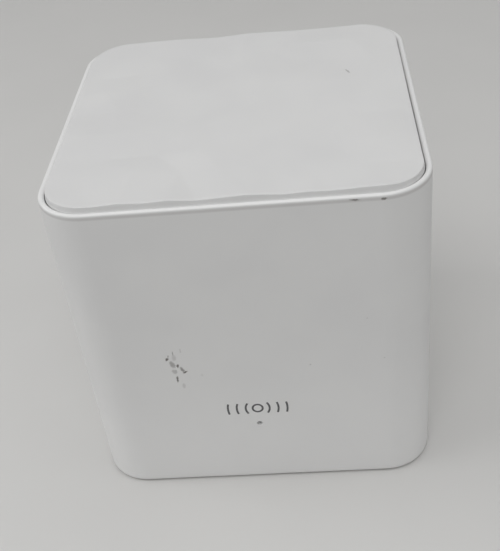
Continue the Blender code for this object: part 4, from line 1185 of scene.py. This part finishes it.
def base_plate():
    """The vented tray that closes the sleeve from below."""
    low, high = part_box("base_plate")
    inset = HALF - high.x
    edge, lip, chamfer = 0.5 * MM, 1.4 * MM, 0.2 * MM
    outline = rounded_rectangle(high.x, high.x, CORNER - inset, CORNER_STEPS)
    corner = arc((edge, low.z + edge), edge, 270, 180, 4)
    rim = high.z - 2 * chamfer
    profile = corner + [(0, rim - chamfer), (chamfer, rim), (lip, rim), (lip, BASE_TOP)]
    plate = sweep("base_tray", outline, profile)
    label_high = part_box("rating_label")[1]
    recess = rounded_rectangle(label_high.x + FIT, label_high.y + FIT, LABEL_CORNER + FIT, steps=6)
    cutters = [opening("label_recess", recess, label_high.z + TOUCH, low.z, TOUCH, upwards(), steps=2)]
    slot = rounded_rectangle(*VENT_HALF, VENT_HALF[1] - 0.01 * MM, steps=6)
    for side in (-1, 1):
        for row in range(VENT_ROWS):
            y = (row - (VENT_ROWS - 1) / 2) * VENT_PITCH
            to_world = upwards(side * VENT_COLUMN_AT, y)
            cutters.append(opening("vent", slot, 2 * BASE_TOP, low.z, SOFT, to_world, steps=3))
    for x, y in corner_places().values():
        join(plate, standing_rod("cup", (x, y), CUP_RADIUS, BASE_TOP - FIT, CUP_TOP, edge=0.3 * MM))
        seat = circle(FOOT_RADIUS + FIT, 56)
        cutters.append(opening("foot_seat", seat, FOOT_SEAT, low.z, chamfer, upwards(x, y), steps=3))
        head_room = FOOT_SEAT + HEAD_HEIGHT + 2 * TOUCH
        cutters.append(standing_rod("head_seat", (x, y), HEAD_RADIUS + FIT, 0, head_room))
        cutters.append(standing_rod("screw_hole", (x, y), SCREW_HOLE, 0, 2 * CUP_TOP))
    board_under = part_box("main_board")[0].z
    for name in corner_places():
        x, y = middle(f"board_screw_{name}").xy
        post_top = board_under - FIT
        join(plate, standing_rod("standoff", (x, y), STANDOFF_RADIUS, BASE_TOP - FIT, post_top, chamfer))
        cutters.append(standing_rod("standoff_pilot", (x, y), PILOT_RADIUS, BASE_TOP, 2 * board_under))
    for cutter in cutters:
        cut(plate, cutter)
    stand_in(plate, "base_plate")


def rating_label():
    """A blank label with round corners."""
    low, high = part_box("rating_label")
    edge = 0.04 * MM
    outline = rounded_rectangle(high.x, high.y, LABEL_CORNER, steps=6)
    label = sweep("blank_label", outline, [(edge, low.z), (0, low.z + edge), (0, high.z)])
    stand_in(label, "rating_label")


def rubber_feet():
    """Round feet with a soft edge and a dished underside."""
    for name, (x, y) in corner_places().items():
        low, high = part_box(f"foot_{name}")
        radius = (high.x - low.x) / 2
        soft, edge = 0.45 * MM, 0.15 * MM
        dish_radius, dish = 3.4 * MM, 0.3 * MM
        profile = [(0, dish), (dish_radius - 2 * dish, dish)]
        profile += [(dish_radius, dish / 6), (dish_radius + dish, 0)]
        profile += arc((radius - soft, soft), soft, -90, 0, 5)
        profile += [(radius, high.z - edge), (radius - edge, high.z), (0, high.z)]
        foot = lathe(f"rubber_foot_{name}", profile, upwards(x, y), steps=56)
        stand_in(foot, f"foot_{name}")


def screw(node, head_up):
    """A pan-head screw with a cross recess and a threaded shank."""
    low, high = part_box(node)
    x, y = (low.x + high.x) / 2, (low.y + high.y) / 2
    side = 1 if head_up else -1
    top = high.z if head_up else low.z
    tip = low.z if head_up else high.z
    length = abs(top - tip) - HEAD_HEIGHT
    dome = 0.7 * MM
    crown = arc((HEAD_RADIUS - dome, dome), dome, -90, 0, 5)
    profile = [(0, 0), *crown, (HEAD_RADIUS, HEAD_HEIGHT)]
    core, crest, pitch = 0.72 * MM, 0.95 * MM, 0.7 * MM
    profile += [(crest, HEAD_HEIGHT)]
    turns = int((length - 2 * MM) / pitch)
    for turn in range(turns):
        start = HEAD_HEIGHT + MM + turn * pitch
        profile += [(core, start), (crest, start + 0.5 * pitch)]
    end = HEAD_HEIGHT + length
    profile += [(core, HEAD_HEIGHT + MM + turns * pitch), (0.4 * core, end - 0.3 * MM), (0, end)]

    def to_world(across, along, depth):
        return Vector((x + across, y + along, top - side * depth))

    made = lathe(node + "_body", profile, to_world, steps=20)
    wing, half_wide, depth = 1.3 * MM, 0.3 * MM, 0.9 * MM
    for size_x, size_y in ((wing, half_wide), (half_wide, wing)):
        near, far = sorted((top - side * depth, top + side * MM))
        cut(made, block("recess", (x - size_x, y - size_y, near), (x + size_x, y + size_y, far)))
    stand_in(made, node)


def screws():
    for name in corner_places():
        screw(f"base_screw_{name}", head_up=False)
        screw(f"board_screw_{name}", head_up=True)


# ---- stage, light and camera


def stage():
    bm = bmesh.new()
    bmesh.ops.create_grid(bm, x_segments=1, y_segments=1, size=FLOOR_HALF)
    floor = link_object("floor", bpy.data.meshes.new("floor"))
    bm.to_mesh(floor.data)
    bm.free()
    finish = Finish("floor_paint", FLOOR_COLOUR, 0.6)
    finish.mottle(darker(FLOOR_COLOUR, 0.97), feature=60 * MM, amount=0.6)
    finish.uneven(feature=15 * MM, amount=0.05)
    floor.data.materials.append(finish.material)


def light():
    world = bpy.data.worlds.new("studio")
    world.use_nodes = True
    tree = world.node_tree
    background = tree.nodes["Background"]
    background.inputs["Color"].default_value = (1.0, 1.0, 1.0, 1)
    # Seen directly, the backdrop is as bright as the far floor that it lights, so no horizon shows.
    strength = tree.nodes.new("ShaderNodeMapRange")
    strength.inputs["To Min"].default_value = WORLD_STRENGTH
    strength.inputs["To Max"].default_value = WORLD_STRENGTH * FLOOR_COLOUR[1]
    tree.links.new(tree.nodes.new("ShaderNodeLightPath").outputs["Is Camera Ray"], strength.inputs["Value"])
    tree.links.new(strength.outputs["Result"], background.inputs["Strength"])
    bpy.context.scene.world = world
    for name, (at, size, power) in LAMPS.items():
        data = bpy.data.lights.new(name, "AREA")
        data.shape = "DISK"
        data.size = size
        data.energy = power
        lamp = link_object(name, data)
        lamp.location = at
        lamp.rotation_euler = (Vector((0, 0, HALF)) - Vector(at)).to_track_quat("-Z", "Y").to_euler()


def camera():
    data = bpy.data.cameras.new("camera")
    data.sensor_width = 36.0
    data.lens = LENS
    data.clip_start = 10 * MM
    made = link_object("camera", data)
    made.location = CAMERA_AT
    made.rotation_euler = Euler([math.radians(angle) for angle in CAMERA_TURN])
    bpy.context.scene.camera = made
    bpy.context.scene.view_settings.view_transform = "Standard"


def finish_cad_nodes():
    """Gives every CAD node the material of its slot in the record."""
    for node, slot in SLOTS.items():
        mesh = frame["nodes"][node].data
        mesh.materials.clear()
        mesh.materials.append(MATERIALS[slot])


finish_cad_nodes()
shell()
panel()
sign()
light_pipe()
bezel()
icons()
network_socket("wan")
network_socket("lan")
power_socket()
reset_button()
base_plate()
rating_label()
rubber_feet()
screws()
stage()
light()
camera()
